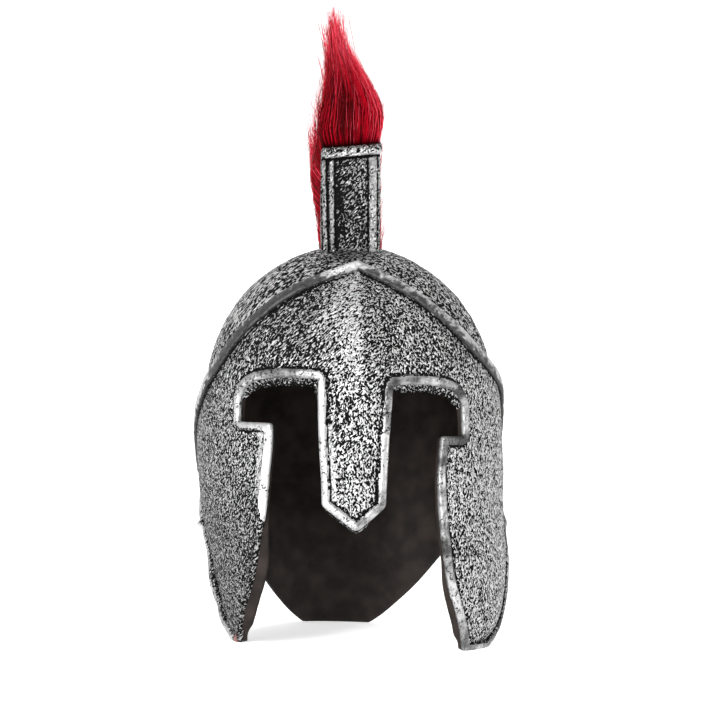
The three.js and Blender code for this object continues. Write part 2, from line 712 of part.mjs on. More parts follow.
// The plume: three rows of locks fused to a backing strip that lies inside the lip
function plume() {
  const pieces = [crestSlab(
    HALF_CREST - PLUME_INSET,
    (angle) => crestTop(angle) + GAP,
    (angle) => crestTop(angle) + GAP + PLUME_BACKING,
    CREST_END_ANGLE - angleFor(PLUME_INSET),
    CREST_FRONT - PLUME_INSET,
  )];
  const side = HALF_CREST - PLUME_INSET - LOCK_WIDTH / 2;
  const front = -THREE.MathUtils.radToDeg(Math.asin(CREST_FRONT / crestTop(0)));
  const room = (CREST_END_ANGLE - front) / (LOCK_ROWS + 0.4);
  for (let i = 0; i < LOCK_ROWS; i += 1) {
    const angle = front + (i + 0.7) * room;
    const row = PLUME_LENGTH * read(PLUME_ROWS, 'angle', 'length', angle);
    const lean = read(PLUME_ROWS, 'angle', 'lean', angle);
    for (const across of [-1, 0, 1]) {
      const ripple = LOCK_RIPPLE * Math.sin(2.4 * i + 1.9 * across);
      const length = row * (1 + ripple) * (1 - LOCK_SHORTER * Math.abs(across));
      pieces.push(lock(across * side, angle, room, length, lean));
    }
  }
  return wasm.Manifold.union(pieces);
}

const silver = (color, roughness) => new THREE.MeshStandardMaterial({ color, roughness, metalness: 0.8 });
const hammered = silver(0x6d6e70, 0.45);
const polished = silver(0xb4b6b8, 0.35);
const crimson = new THREE.MeshStandardMaterial({ color: 0xa30f28, roughness: 0.8, metalness: 0 });

function piece(name, shape, material) {
  const geometry = shape.isBufferGeometry ? shape : toGeometry(shape);
  const mesh = new THREE.Mesh(geometry, material);
  mesh.name = name;
  return mesh;
}

const helmet = new THREE.Group();
helmet.add(
  piece('skull', skull(), hammered),
  piece('face_guard', faceGuard(), hammered),
  piece('brow_band', browBand(), polished),
  piece('face_rim', faceRim(), polished),
  piece('crest_box', crestBox(), hammered),
  piece('crest_lip', crestLip(), polished),
  piece('plume', plume(), crimson),
);

// The origin is under the middle of the helmet, on the surface it rests on
const extent = new THREE.Box3().setFromObject(helmet);
const middle = extent.getCenter(new THREE.Vector3());
helmet.position.set(-middle.x, -middle.y, -extent.min.z);

export default helmet;
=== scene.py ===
"""A costume helmet in the roman manner: a hammered silver bowl and face guard with bright rolled
borders, and a crest box that carries a plume of long red fur. The surfaces are worked out in
millimetres round the bowl's upright axis, then placed on the frame in metres."""
import itertools
import json
import math

import bpy
import numpy as np
from mathutils import Matrix, Vector
from mathutils.kdtree import KDTree


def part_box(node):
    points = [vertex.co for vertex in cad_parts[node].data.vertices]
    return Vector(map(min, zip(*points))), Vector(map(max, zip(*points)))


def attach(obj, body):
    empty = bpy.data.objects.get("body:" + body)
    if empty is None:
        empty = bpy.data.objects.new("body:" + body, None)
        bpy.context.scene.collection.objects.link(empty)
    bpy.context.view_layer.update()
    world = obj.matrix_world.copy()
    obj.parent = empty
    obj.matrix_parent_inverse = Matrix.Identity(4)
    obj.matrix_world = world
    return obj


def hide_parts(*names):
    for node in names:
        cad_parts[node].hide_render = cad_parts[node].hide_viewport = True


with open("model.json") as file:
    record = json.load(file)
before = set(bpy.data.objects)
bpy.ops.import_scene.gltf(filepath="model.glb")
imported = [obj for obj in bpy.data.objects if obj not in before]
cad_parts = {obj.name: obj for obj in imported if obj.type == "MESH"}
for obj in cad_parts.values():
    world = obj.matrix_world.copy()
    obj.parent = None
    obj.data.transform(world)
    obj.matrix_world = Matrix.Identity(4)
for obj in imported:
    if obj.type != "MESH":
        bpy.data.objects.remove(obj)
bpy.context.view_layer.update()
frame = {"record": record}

rng = np.random.default_rng(41)

# Bowl and walls, in millimetres
CROWN_HEIGHT = 312.0
BOWL_RISE = 120.0
BOWL_WIDTH = 228.0
BOWL_LENGTH = 256.0
PLAN_POWER = 2.15
BOWL_COLUMNS = 288
BOWL_ROWS = 104
WALL = 5.0
GAP = 0.3
KEEL = 4.5
KEEL_TURN = 13.0
KEEL_START = 0.3
KEEL_FULL = 0.75
WIDEST = CROWN_HEIGHT - BOWL_RISE
BOWL_ARC = BOWL_RISE * math.pi / 2
MM_PER_DEGREE = math.radians(BOWL_WIDTH / 2)

# Face guard, which laps over the bowl's front edge
GUARD_WALL = 6.0
GUARD_OUTSIDE = GAP + GUARD_WALL
LAP = 12.0
EAR_TURN = 110.0
NECK_TURN = 114.0
NASAL_WIDTH = 52.0
NASAL_TIP_HEIGHT = 93.0
NASAL_CHAMFER = 18.0
EYE_TOP_HEIGHT = 206.0
EYE_TURN = {"left": 42.5, "right": 37.7}
CHEEK_TOP = {"left": 171.0, "right": 164.0}
GUARD_CELL = 1.25
CORNER_SOFTNESS = 1.5
EDGE_RECESS = 0.6
EYE_FLARE = 6.5
NASAL_FLARE = 3.6
CHEEK_FLARE = 8.0
WALL_LAYERS = (0.2, 0.4, 0.6, 0.8, 1.0)

# Raised borders
BAND_BELOW = 10.0
BAND_STEP = 1.3
RIM_WIDTH = 7.0
RIM_HEIGHT = 2.6
RIM_CELL = 1.0
RIM_WRAP = 2.6
RIM_LAST_TURN = 105.0
RIM_BRIGHT = 5.7
TORN_TURN = -53.0
TORN_HEIGHT = 5.0
TORN_REACH = 5.0
PATH_STEP = 0.6

# Crest and plume
HALF_CREST = 23.0
CREST_HEIGHT = 78.0
CREST_WALL = 4.0
CREST_FRONT = 38.0
CREST_END_ANGLE = 100.0
CREST_SHIFT = -2.3
CREST_LEAN = 1.5
CREST_SKEW = 2.5
CREST_TOP_TILT = 6.5
CREST_DULL = 0.62
CREST_FRONT_ANGLE = -11.0
CREST_ROWS = 30
CREST_STATIONS = 130
CREST_OVER_COLUMNS = 16
CREST_RADIUS_GUESS = 150.0
LIP_SIDE = 0.45
LIP_INSET = 2.2
LIP_CORNER = 2.5
LIP_ARC_RADIUS = 128.0
LIP_RINGS = 420
PLUME_LENGTH = 92.0
FRONT_TOP_RADIUS = 198.0
STRAND_RINGS = 5
STRANDS_A_TUFT = 45
STRAY_SHARE = 0.05
TUFT_PULL = 0.3
TUFT_ACROSS = 42     # mm across the whole plume
TUFT_ALONG = 2.6     # mm a degree
FRONT_FUR_END = 22
MIDDLE_FUR_END = 62

# How far the pits keep the silver off, how dark the painted shade is in the border's groove and on
# the bevels, and how much less silver the crest's sunken panel and the bowl have
PIT_TONE = 0.04
GROOVE_SHADE = 0.25
BEVEL_SHADE = 0.11
PANEL_TONE = -0.045
BOWL_THIN = 0.038

# The camera, as the photograph shows the helmet, in metres and degrees
CAMERA_DISTANCE = 2.2
CAMERA_HEIGHT = 0.221
CAMERA_YAW = 3.5
CAMERA_ROLL = 1.5
CAMERA_ASIDE = 0.008
FRAME_WIDTH = 0.576

# The studio: how bright the surroundings are in front and behind, the floor's own glow, and the
# height in metres at which the lamps aim
WORLD_FRONT = 0.20
WORLD_BACK = 0.65
STAGE_GLOW = 0.62
AIM_HEIGHT = 0.25


def table(columns, *rows):
    """A table whose columns are named: each column becomes an array."""
    return dict(zip(columns.split(), np.array(rows, float).T))


# Reach of the walls below the widest level, as shares of the bowl's
WALLS = table(
    "level left right front back",
    (-0.12, 0.71, 0.92, 0.97, 1.03), (0.00, 0.755, 0.985, 0.99, 0.97),
    (0.12, 0.80, 1.045, 1.01, 0.91), (0.30, 0.873, 1.072, 1.03, 0.86),
    (0.50, 0.948, 1.045, 1.035, 0.88), (0.75, 0.995, 1.03, 1.02, 0.96),
    (1.00, 1.00, 1.00, 1.00, 1.00))

# The face guard's upper edge: height by degrees round, as shares of the crown's height
SEAM = table(
    "turn left right",
    (0, 0.933, 0.933), (12, 0.913, 0.907), (24, 0.889, 0.872), (36, 0.845, 0.819),
    (48, 0.777, 0.753), (60, 0.699, 0.708), (72, 0.635, 0.672), (84, 0.587, 0.622),
    (96, 0.532, 0.552), (104, 0.474, 0.485), (108, 0.426, 0.430), (110, 0.391, 0.391))

# The cheek guards' lower and back edge, as shares of the crown's height
CHEEK_EDGE = table(
    "turn left right",
    (0, -0.008, -0.008), (57, -0.008, -0.008), (61, 0.004, 0.007), (65, 0.012, 0.019),
    (70, 0.025, 0.039), (75, 0.052, 0.070), (80, 0.098, 0.130), (85, 0.163, 0.212),
    (90, 0.246, 0.288), (95, 0.300, 0.319), (100, 0.327, 0.337), (105, 0.346, 0.350),
    (110, 0.359, 0.359))

# The neck guard's lower edge behind the ear, as shares of the crown's height
NECK_EDGE = table(
    "turn height",
    (110, 0.391), (114, 0.333), (120, 0.295), (128, 0.237), (137, 0.173), (146, 0.112),
    (156, 0.054), (163, 0.018), (168, 0.0), (180, 0.0))

# The cheek guards' front edge: degrees round by height, as shares of the left cheek's top
FRONT_EDGE = table(
    "height left right",
    (-0.12, 55, 46), (0.00, 51, 43), (0.10, 47, 39.2), (0.20, 41.2, 35.5), (0.30, 36.4, 32.1),
    (0.40, 33.6, 30.2), (0.50, 32.0, 28.9), (0.60, 30.4, 27.9), (0.70, 29.6, 27.3),
    (0.80, 29.1, 27.1), (0.90, 28.5, 27.8), (1.00, 28.6, 28.6))

# The top of the eyes from the nasal outwards, as shares of their height, and the nasal's edges
# from its tip upwards, as shares of its width
EYE_TOP = table(
    "across left right",
    (0.00, 0.955, 0.955), (0.12, 0.985, 0.970), (0.50, 1.000, 0.988), (0.80, 0.990, 0.978),
    (0.93, 0.968, 0.955), (1.00, 0.925, 0.915))
NASAL_EDGE = table(
    "height left right",
    (0.00, 0.440, 0.370), (0.30, 0.470, 0.385), (0.60, 0.520, 0.405), (0.90, 0.545, 0.440),
    (1.00, 0.550, 0.450))

# By degrees over from the top: the crest's height over the bowl, then the plume's length, how
# far it follows its outline in front, how far it lies to the side in mm, and its width
CREST_ARC = table(
    "angle height",
    (-25, 1.00), (-11, 1.00), (10, 1.00), (30, 0.93), (50, 0.78), (70, 0.58), (85, 0.43),
    (101, 0.31))
PLUME_ROWS = table(
    "angle length lean aside wide",
    (-11, 1.00, 1.0, 0.0, 1.0), (10, 0.98, 1.0, 0.0, 1.0), (18, 0.97, 0.95, -1.0, 1.0),
    (26, 0.97, 0.15, -4.0, 1.0), (34, 0.94, 0.0, -3.0, 1.0), (45, 0.88, 0.0, 0.5, 0.96),
    (52, 0.84, 0.0, 2.2, 0.95), (60, 0.81, 0.0, 4.5, 0.85), (98, 0.70, 0.0, 3.5, 0.8))

# The border's section: height by distance from its edge, as shares of its own
RIM_PROFILE = table(
    "across height",
    (0.0, 0.45), (0.3, 0.75), (0.8, 0.95), (1.5, 1.0), (4.4, 0.97), (5.2, 0.82), (5.8, 0.45),
    (6.3, 0.15), (7.0, 0.06))

# Lumps and dents of the border: degrees round, height, reach and how far each stands out
BLEMISHES = table(
    "turn height reach lift",
    (-91, 89, 2.6, 3.4), (91, 92, 5.0, 2.0), (-42, 198, 3.0, 1.4), (33.5, 44, 2.0, -2.0),
    (-96, 92, 6.0, 1.2), (88, 76, 4.0, -1.0), (-82, 42, 17.0, 3.2), (-74, 16, 9.0, 2.0))

# The brow band's section: from its lower edge on the guard to its upper edge on the bowl
BAND_PROFILE = table(
    "across up",
    (-10.0, 5.7), (-10.3, 7.2), (-10.1, 8.3), (-9.4, 8.9), (-7.5, 9.1), (-4.5, 9.1), (-1.5, 8.7),
    (0.8, 7.6), (2.6, 5.9), (4.2, 4.0), (5.6, 2.0), (6.6, 0.5), (6.9, -0.1), (6.6, -0.5),
    (3.0, -0.4), (0.3, 0.4), (0.1, 5.7))

# How tarnished the brow band is, by degrees round, with a painted highlight near its peak; and
# how much darker near its lower edge, a painted shade line
BAND_TARNISH_AND_HIGHLIGHT = table(
    "turn tarnish",
    (-110, 0.25), (-85, -0.05), (-68, 0.10), (-56, 0.75), (-28, 0.80), (-20, 0.65), (-16, -0.2),
    (-11, -0.7), (-1, -0.6), (4, 0.1), (8, 0.40), (20, 0.38), (45, 0.25), (70, 0.25), (110, 0.30))
BAND_EDGE_SHADE = table(
    "across tarnish",
    (-10.2, 1.2), (-9.9, 0.45), (-8.0, 0.30), (-5.0, 0.0))

# How dull and how thin the silver is on the brow, by degrees round: down the keel's left flank the
# silver is full, a painted highlight, and on its right flank thinner and duller, painted shade
BROW_DULL_AND_KEEL_LIGHT = table(
    "turn dull thin",
    (-110, 0.15, 0.020), (-60, 0.25, 0.055), (-40, 0.35, 0.075), (-20, 0.30, 0.065),
    (-9, 0.0, -0.005), (-5, 0.0, -0.010), (-3, 0.0, -0.060), (-0.5, 0.0, -0.070),
    (0.8, 0.05, 0.040), (3, 0.15, 0.045), (12, 0.10, 0.035), (30, 0.10, 0.020), (50, 0.05, 0.010),
    (110, 0.05, 0.010))

# Ribs of the crest's front plate and lines of painted shade beside them: centre at its top and its
# foot, half width, height
PLATE_RIBS = table(
    "top_at foot_at half height",
    (-21.2, -19.6, 2.2, 0.9), (-15.2, -13.6, 2.6, 1.0), (18.0, 17.6, 4.2, 1.3),
    (22.6, 22.0, 0.9, 0.7))
PLATE_SHADE_LINES = table(
    "top_at foot_at half",
    (-19.2, -17.2, 0.9), (-12.6, -12.0, 1.1), (13.6, 13.8, 0.8), (21.2, 20.8, 0.7))

# The lip's section: out from the box's side and up from its top
LIP_PROFILE = table(
    "out up",
    (0.15, -5.2), (1.5, -5.4), (2.3, -4.7), (2.8, -3.2), (2.9, -1.2), (2.7, 0.6), (2.0, 1.9),
    (0.9, 2.6), (-0.4, 2.4), (-1.1, 1.5), (-1.0, 0.5), (0.15, 0.3))

# The plume's outline in front and its half width behind, by share of its length, in mm
PLUME_EDGES = table(
    "along left right half",
    (0.00, -21.5, 21.5, 21.5), (0.06, -25.0, 24.5, 27.0), (0.22, -27.0, 26.6, 29.5),
    (0.37, -22.5, 25.0, 28.8), (0.53, -19.3, 16.5, 29.5), (0.66, -18.0, 9.3, 31.5),
    (0.79, -17.3, 2.4, 33.5), (0.86, -16.6, -3.4, 33.5), (0.93, -16.2, -8.0, 32.0),
    (1.05, -15.8, -10.0, 20.0))

# The bowl's upright axis in the frame, in metres
REST_X = frame["record"]["mounts"][0]["pos_m"][0]
AXIS = np.array([REST_X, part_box("crest_box")[0].y + CREST_FRONT / 1000, 0])


def read(rows, key, column, at):
    """A smooth curve through a table's rows."""
    keys, values = rows[key], rows[column]
    last = len(keys) - 1
    at = np.clip(np.asarray(at, float), keys[0], keys[-1])
    i = np.clip(np.searchsorted(keys, at) - 1, 0, last - 1)
    before, after = np.maximum(i - 1, 0), np.minimum(i + 2, last)
    width = keys[i + 1] - keys[i]
    share = (at - keys[i]) / width
    start = (values[i + 1] - values[before]) / (keys[i + 1] - keys[before]) * width
    end = (values[after] - values[i]) / (keys[after] - keys[i]) * width
    s2, s3 = share ** 2, share ** 3
    return ((2 * s3 - 3 * s2 + 1) * values[i] + (s3 - 2 * s2 + share) * start
            + (3 * s2 - 2 * s3) * values[i + 1] + (s3 - s2) * end)


def side_read(rows, key, turn, at):
    """Reads the left or the right column, by the sign of the turn."""
    return np.where(np.asarray(turn) < 0, read(rows, key, "left", at), read(rows, key, "right", at))


def line_read(rows, key, column, at):
    """Straight lines through a table's rows."""
    return np.interp(at, rows[key], rows[column])


def smoothstep(low, high, value):
    share = np.clip((value - low) / (high - low), 0, 1)
    return share * share * (3 - 2 * share)


def height_at(drop):
    """Height of the surface, drop being the way down from the crown along it."""
    return np.where(drop < BOWL_ARC, WIDEST + BOWL_RISE * np.cos(drop / BOWL_RISE),
                    WIDEST + BOWL_ARC - drop)


def drop_at(height):
    over = np.clip((height - WIDEST) / BOWL_RISE, 0, 1)
    return np.where(height > WIDEST, BOWL_RISE * np.arccos(over), BOWL_ARC + WIDEST - height)


def keel_at(turn, drop):
    across = np.maximum(0, 1 - np.abs(turn) / KEEL_TURN)
    return KEEL * across * smoothstep(KEEL_START * BOWL_ARC, KEEL_FULL * BOWL_ARC, drop)


def surface(turn, drop):
    """Points of the shell's surface by degrees round from the front and by drop."""
    turn, drop = np.broadcast_arrays(np.asarray(turn, float), np.asarray(drop, float))
    height = height_at(drop)
    level = np.minimum(1, height / WIDEST)
    spread = np.where(drop < BOWL_ARC, np.sin(drop / BOWL_RISE), 1)
    sine, cosine = np.sin(np.radians(turn)), np.cos(np.radians(turn))
    half_width = BOWL_WIDTH / 2 * side_read(WALLS, "level", sine, level)
    half_length = BOWL_LENGTH / 2 * np.where(cosine < 0, read(WALLS, "level", "back", level),
                                             read(WALLS, "level", "front", level))
    x, y = np.abs(sine) / half_width, np.abs(cosine) / half_length
    reach = spread * (x ** PLAN_POWER + y ** PLAN_POWER) ** (-1 / PLAN_POWER) + keel_at(turn, drop)
    return np.stack([reach * sine, -reach * cosine, height], -1)


def normals(turn, drop):
    step = 0.3
    across = surface(turn + step, drop) - surface(turn - step, drop)
    down = surface(turn, drop + step) - surface(turn, np.maximum(drop - step, 0))
    out = np.cross(down, across)
    length = np.linalg.norm(out, axis=-1, keepdims=True)
    crown = (np.asarray(drop) < step)[..., None]
    return np.where(crown, (0, 0, 1), out / np.maximum(length, 1e-9))


def seam_drop(turn):
    return drop_at(CROWN_HEIGHT * side_read(SEAM, "turn", turn, np.abs(turn)))


def turn_at(x, height):
    """Degrees round at which the surface reaches a given distance from the middle plane."""
    low, high = np.zeros_like(x), np.full_like(x, 80.0)
    for _ in range(30):
        middle = (low + high) / 2
        short = np.abs(surface(np.sign(x) * middle, drop_at(height))[..., 0]) < np.abs(x)
        low, high = np.where(short, middle, low), np.where(short, high, middle)
    return np.sign(x) * (low + high) / 2


# Directions for the noise, the large primes that mix a cell's numbers into one of them, how far
# apart two seeds lie, and what brings the noise to a range of about -1 to 1
GRADIENTS = np.random.default_rng(7).normal(size=(256, 3))
GRADIENTS /= np.linalg.norm(GRADIENTS, axis=1, keepdims=True)
CELL_PRIMES = np.array([374761393, 668265263, 2246822519], np.uint64)
MIX_PRIME = np.uint64(1274126177)
SEED_STEP = 17.3
NOISE_GAIN = 1.7


def noise(points, size, seed=0):
    """Smooth noise from about -1 to 1, with lumps of about the given size in mm."""
    place = points / size + seed * SEED_STEP
    cell = np.floor(place).astype(np.int64)
    part = place - cell
    fade = part ** 3 * (part * (part * 6 - 15) + 10)
    total = np.zeros(len(points))
    for corner in itertools.product((0, 1), repeat=3):
        mixed = ((cell + corner).astype(np.uint64) * CELL_PRIMES).sum(axis=1)
        mixed = (mixed ^ (mixed >> np.uint64(13))) * MIX_PRIME
        gradient = GRADIENTS[((mixed ^ (mixed >> np.uint64(16))) & np.uint64(255)).astype(int)]
        weight = np.prod(np.where(corner, fade, 1 - fade), axis=1)
        total += weight * np.sum(gradient * (part - corner), axis=1)
    return total * NOISE_GAIN


def wander(points, size, seed):
    """Noise in all three directions."""
    return np.stack([noise(points, size, seed + k) for k in range(3)], -1)


def hammered(points):
    """The small pits of the moulded skin, and its whole relief in mm with soft dents and waves."""
    warped = points + 1.2 * wander(points, 7, 1)
    stretched = warped * (1, 1, 0.72)
    pits = noise(stretched, 2.6, 4)
    dents = noise(points, 13, 5)
    waves = noise(points, 38, 6)
    return pits, 0.30 * pits + 0.38 * dents + 0.55 * waves


def to_frame(points):
    return points / 1000 + AXIS


def add_object(name, data):
    obj = bpy.data.objects.new(name, data)
    bpy.context.scene.collection.objects.link(obj)
    return obj


def make_mesh(name, points, faces, attributes=None):
    """A smooth mesh object from points in mm and a list of arrays of faces with 3 or 4 corners each."""
    mesh = bpy.data.meshes.new(name)
    loops = np.concatenate([f.ravel() for f in faces]).astype(np.int32)
    sizes = np.concatenate([np.full(len(f), f.shape[1]) for f in faces]).astype(np.int32)
    starts = np.concatenate([[0], np.cumsum(sizes)[:-1]]).astype(np.int32)
    mesh.vertices.add(len(points))
    mesh.vertices.foreach_set("co", to_frame(points).astype(np.float32).ravel())
    mesh.loops.add(len(loops))
    mesh.loops.foreach_set("vertex_index", loops)
    mesh.polygons.add(len(sizes))
    mesh.polygons.foreach_set("loop_start", starts)
    mesh.polygons.foreach_set("loop_total", sizes)
    mesh.update(calc_edges=True)
    mesh.validate()
    mesh.shade_smooth()
    for key, values in (attributes or {}).items():
        layer = mesh.attributes.new(key, "FLOAT", "POINT")
        layer.data.foreach_set("value", np.asarray(values, np.float32))
    return add_object(name, mesh)


def used_only(count, faces):
    """Which of the points the faces use, and the faces by the new numbers of those points."""
    used = np.unique(np.concatenate([f.ravel() for f in faces]))
    renumber = np.full(count, -1)
    renumber[used] = np.arange(len(used))
    return used, [renumber[f] for f in faces]


def tree_of(points):
    tree = KDTree(len(points))
    for i, point in enumerate(points):
        tree.insert(point, i)
    tree.balance()
    return tree


def settle(obj, nodes, materials, kinds=None):
    """Gives a piece its materials and its place in the frame; kinds numbers each face's material."""
    for material in materials:
        obj.data.materials.append(material)
    if kinds is not None:
        obj.data.polygons.foreach_set("material_index", kinds.astype(np.int32))
    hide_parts(*nodes)
    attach(obj, "root")
    return obj


def grid_faces(rows, columns, wrap_rows=False, wrap_columns=False):
    """Quads of a grid of rows times columns points."""
    index = np.arange(rows * columns).reshape(rows, columns)
    if wrap_rows:
        index = np.concatenate([index, index[:1]], 0)
    if wrap_columns:
        index = np.concatenate([index, index[:, :1]], 1)
    a, b, c, d = index[:-1, :-1], index[:-1, 1:], index[1:, 1:], index[1:, :-1]
    return np.stack([a, b, c, d], -1).reshape(-1, 4)


def even_path(corners, step):
    """Points an even step apart along a path of [turn, drop] corners."""
    corners = np.asarray(corners, float)
    places = surface(corners[:, 0], corners[:, 1])
    along = np.concatenate([[0], np.cumsum(np.linalg.norm(np.diff(places, axis=0), axis=1))])
    count = max(2, int(round(along[-1] / step)) + 1)
    at = np.linspace(0, along[-1], count)
    return np.stack([np.interp(at, along, corners[:, k]) for k in (0, 1)], -1)


def soften(path, width, closed):
    """Rounds the corners of an evenly stepped path."""
    reach = int(math.ceil(3 * width))
    weights = np.exp(-0.5 * (np.arange(-reach, reach + 1) / width) ** 2)
    weights /= weights.sum()
    padded = np.pad(path, ((reach, reach), (0, 0)), mode="wrap" if closed else "edge")
    smooth = np.stack([np.convolve(padded[:, k], weights, "valid") for k in (0, 1)], -1)
    if not closed:
        smooth[0], smooth[-1] = path[0], path[-1]
    return smooth


def nasal_turn(side, height):
    share = np.clip((height - NASAL_TIP_HEIGHT) / (EYE_TOP_HEIGHT - NASAL_TIP_HEIGHT), 0, 1)
    reach = NASAL_WIDTH * read(NASAL_EDGE, "height", side, share)
    return turn_at(reach * (-1 if side == "left" else 1), height)


def border_half(side):
    """The border from the cheek guard's back edge round its tip, up its front edge, round the
    eye and down the nasal."""
    sign = -1 if side == "left" else 1
    back = np.arange(EAR_TURN, 46, -1.0)
    heights = CROWN_HEIGHT * read(CHEEK_EDGE, "turn", side, back)
    standing = heights > 0
    path = [np.stack([sign * back[standing], drop_at(heights[standing])], -1)]
    share = np.linspace(0, CHEEK_TOP[side] / CHEEK_TOP["left"], 60)
    front = sign * read(FRONT_EDGE, "height", side, share)
    path.append(np.stack([front, drop_at(share * CHEEK_TOP["left"])], -1))
    across = np.linspace(1, 0, 80)
    eye_height = EYE_TOP_HEIGHT * read(EYE_TOP, "across", side, across)
    eye_turn = sign * EYE_TURN[side] * across
    edge = nasal_turn(side, eye_height)
    outside = np.abs(eye_turn) > np.abs(edge)
    path.append(np.array([[sign * EYE_TURN[side], drop_at(CHEEK_TOP[side])]]))
    path.append(np.stack([eye_turn, drop_at(eye_height)], -1)[outside])
    corner = eye_height[outside][-1]
    down = np.linspace(corner, NASAL_TIP_HEIGHT + NASAL_CHAMFER, 60)
    path.append(np.stack([nasal_turn(side, down), drop_at(down)], -1))
    return np.concatenate(path)


def guard_outlines():
    """The border's path from ear to ear, and the whole closed outline of the face guard."""
    tip = [[0.0, drop_at(NASAL_TIP_HEIGHT)]]
    border = np.concatenate([border_half("left"), tip, border_half("right")[::-1]])
    turns = np.arange(EAR_TURN, -EAR_TURN - 0.5, -1.0)
    seam = np.stack([turns, seam_drop(turns)], -1)
    width = CORNER_SOFTNESS / PATH_STEP
    whole = soften(even_path(np.concatenate([border, seam, border[:1]]), PATH_STEP)[:-1], width, True)
    rim = soften(even_path(border, PATH_STEP), width, False)
    return rim, whole


class Outline:
    """Distances from points on the surface to a path on it."""

    def __init__(self, path, closed):
        self.path = np.concatenate([path, path[:1]]) if closed else path
        self.points = surface(self.path[:, 0], self.path[:, 1])
        self.tree = tree_of(self.points)

    def nearest(self, points):
        """The distance to the path, and the [turn, drop] of its nearest place."""
        found = np.array([self.tree.find(p)[1] for p in points])
        best = np.full(len(points), np.inf)
        place = np.zeros((len(points), 2))
        for shift in (-1, 0):
            i = np.clip(found + shift, 0, len(self.points) - 2)
            a, b = self.points[i], self.points[i + 1]
            span = b - a
            share = np.sum((points - a) * span, 1) / np.maximum(np.sum(span * span, 1), 1e-12)
            share = np.clip(share, 0, 1)[:, None]
            distance = np.linalg.norm(a + span * share - points, axis=1)
            closer = distance < best
            best[closer] = distance[closer]
            place[closer] = (self.path[i] * (1 - share) + self.path[i + 1] * share)[closer]
        return best, place


def inside(outline, places):
    """Which [turn, drop] places lie inside a closed outline."""
    a, b = outline, np.roll(outline, -1, 0)
    result = np.zeros(len(places), bool)
    order = np.argsort(places[:, 1], kind="stable")
    for chunk in np.array_split(order, max(1, len(places) // 2000)):
        drops = places[chunk, 1]
        upper, lower = np.minimum(a[:, 1], b[:, 1]), np.maximum(a[:, 1], b[:, 1])
        near = (upper <= drops.max()) & (lower >= drops.min())
        p, q = a[near], b[near]
        crosses = (p[None, :, 1] > drops[:, None]) != (q[None, :, 1] > drops[:, None])
        run = np.where(q[:, 1] == p[:, 1], 1e-12, q[:, 1] - p[:, 1])
        at = p[None, :, 0] + (drops[:, None] - p[None, :, 1]) / run[None] * (q[:, 0] - p[:, 0])[None]
        result[chunk] = (crosses & (places[chunk, 0][:, None] < at)).sum(1) % 2 == 1
    return result


def snapped_grid(whole, path, closed, cell, limit):
    """A grid on the surface, with points near the path, or near the limit of distance from it,
    moved onto it. Returns its quads, its [turn, drop] places, their distances to the path, and
    their state: 1 within, 0 moved and -1 left out."""
    low, high = whole.min(0) - cell, whole.max(0) + cell
    turns = np.arange(low[0], high[0], cell / MM_PER_DEGREE)
    drops = np.arange(low[1], high[1], cell)
    places = np.stack(np.meshgrid(turns, drops, indexing="ij"), -1).reshape(-1, 2)
    turn, drop = places.T
    distance, nearest = Outline(path, closed).nearest(surface(turn, drop))
    across = np.linalg.norm(surface(turn + 0.5, drop) - surface(turn - 0.5, drop), axis=1)
    offset = (places - nearest) * np.stack([across, np.ones_like(across)], -1)
    direction = np.abs(offset) / np.maximum(np.linalg.norm(offset, axis=1, keepdims=True), 1e-9)
    reach = 0.5 * np.maximum(direction[:, 0] * across * cell / MM_PER_DEGREE, direction[:, 1] * cell)
    within = inside(whole, places)
    state = np.where(within, 1, -1)
    on_edge = distance < reach
    places = np.where(on_edge[:, None], nearest, places)
    state[on_edge] = 0
    distance = np.where(on_edge, 0, distance)
    if limit is not None:
        on_limit = within & (np.abs(distance - limit) < reach) & ~on_edge
        moved = nearest + (places - nearest) * (limit / np.maximum(distance, 1e-9))[:, None]
        places = np.where(on_limit[:, None], moved, places)
        state[on_limit] = 0
        state[(distance > limit) & ~on_limit] = -1
        distance = np.where(on_limit, limit, distance)
    return grid_faces(len(turns), len(drops)), places, distance, state


def clipped_grid(whole, path, closed, cell, limit=None):
    """A grid on the surface inside the whole outline, and within a limit of the path where one is
    given. Returns [turn, drop] places, distances to the path, quads and triangles."""
    quads, places, distance, state = snapped_grid(whole, path, closed, cell, limit)
    kept = state[quads] >= 0
    full = quads[kept.all(1)]
    three = kept.sum(1) == 3
    corners, lost = quads[three], np.argmin(kept[three], axis=1)
    triangles = np.stack([corners[np.arange(len(corners)), (lost + k) % 4] for k in (1, 2, 3)], -1)

    def sound(faces):
        """Leaves out faces between moved points that lie outside."""
        centre = places[faces].mean(1)
        flat = (state[faces] == 0).all(1)
        good = inside(whole, centre)
        if limit is not None:
            good &= (distance[faces].mean(1) < limit - 0.05) | ~flat
        return faces[~flat | good]

    used, (full, triangles) = used_only(len(places), [sound(full), sound(triangles)])
    return places[used], distance[used], full, triangles


def border_edges(faces):
    """Directed edges that only one face uses."""
    edges = np.concatenate([np.stack([f, np.roll(f, -1, 1)], -1).reshape(-1, 2) for f in faces])
    key = np.sort(edges, 1)
    packed = key[:, 0] * (key.max() + 1) + key[:, 1]
    _, first, count = np.unique(packed, return_index=True, return_counts=True)
    return edges[first[count == 1]]


def thick_sheet(layers, quads, triangles=np.zeros((0, 3), int)):
    """Closes a sheet of faces into a body. Layers are its points from the outer face to the inner
    one; those between lie only round the border. Returns points, lists of faces (outer quads and
    triangles, a wall for each step between layers, inner quads and triangles) and the points
    that are used."""
    count = len(layers[0])
    edges = border_edges([quads, triangles])
    last = len(layers) - 1
    points = np.concatenate(layers)
    walls = []
    for k in range(last):
        a, b = edges[:, 0] + k * count, edges[:, 1] + k * count
        walls.append(np.stack([b, a, a + count, b + count], -1))
    inner_quads = quads[:, ::-1] + last * count
    inner_triangles = triangles[:, ::-1] + last * count
    faces = [quads, triangles, *walls, inner_quads, inner_triangles]
    used, faces = used_only(len(points), faces)
    return points[used], faces, used


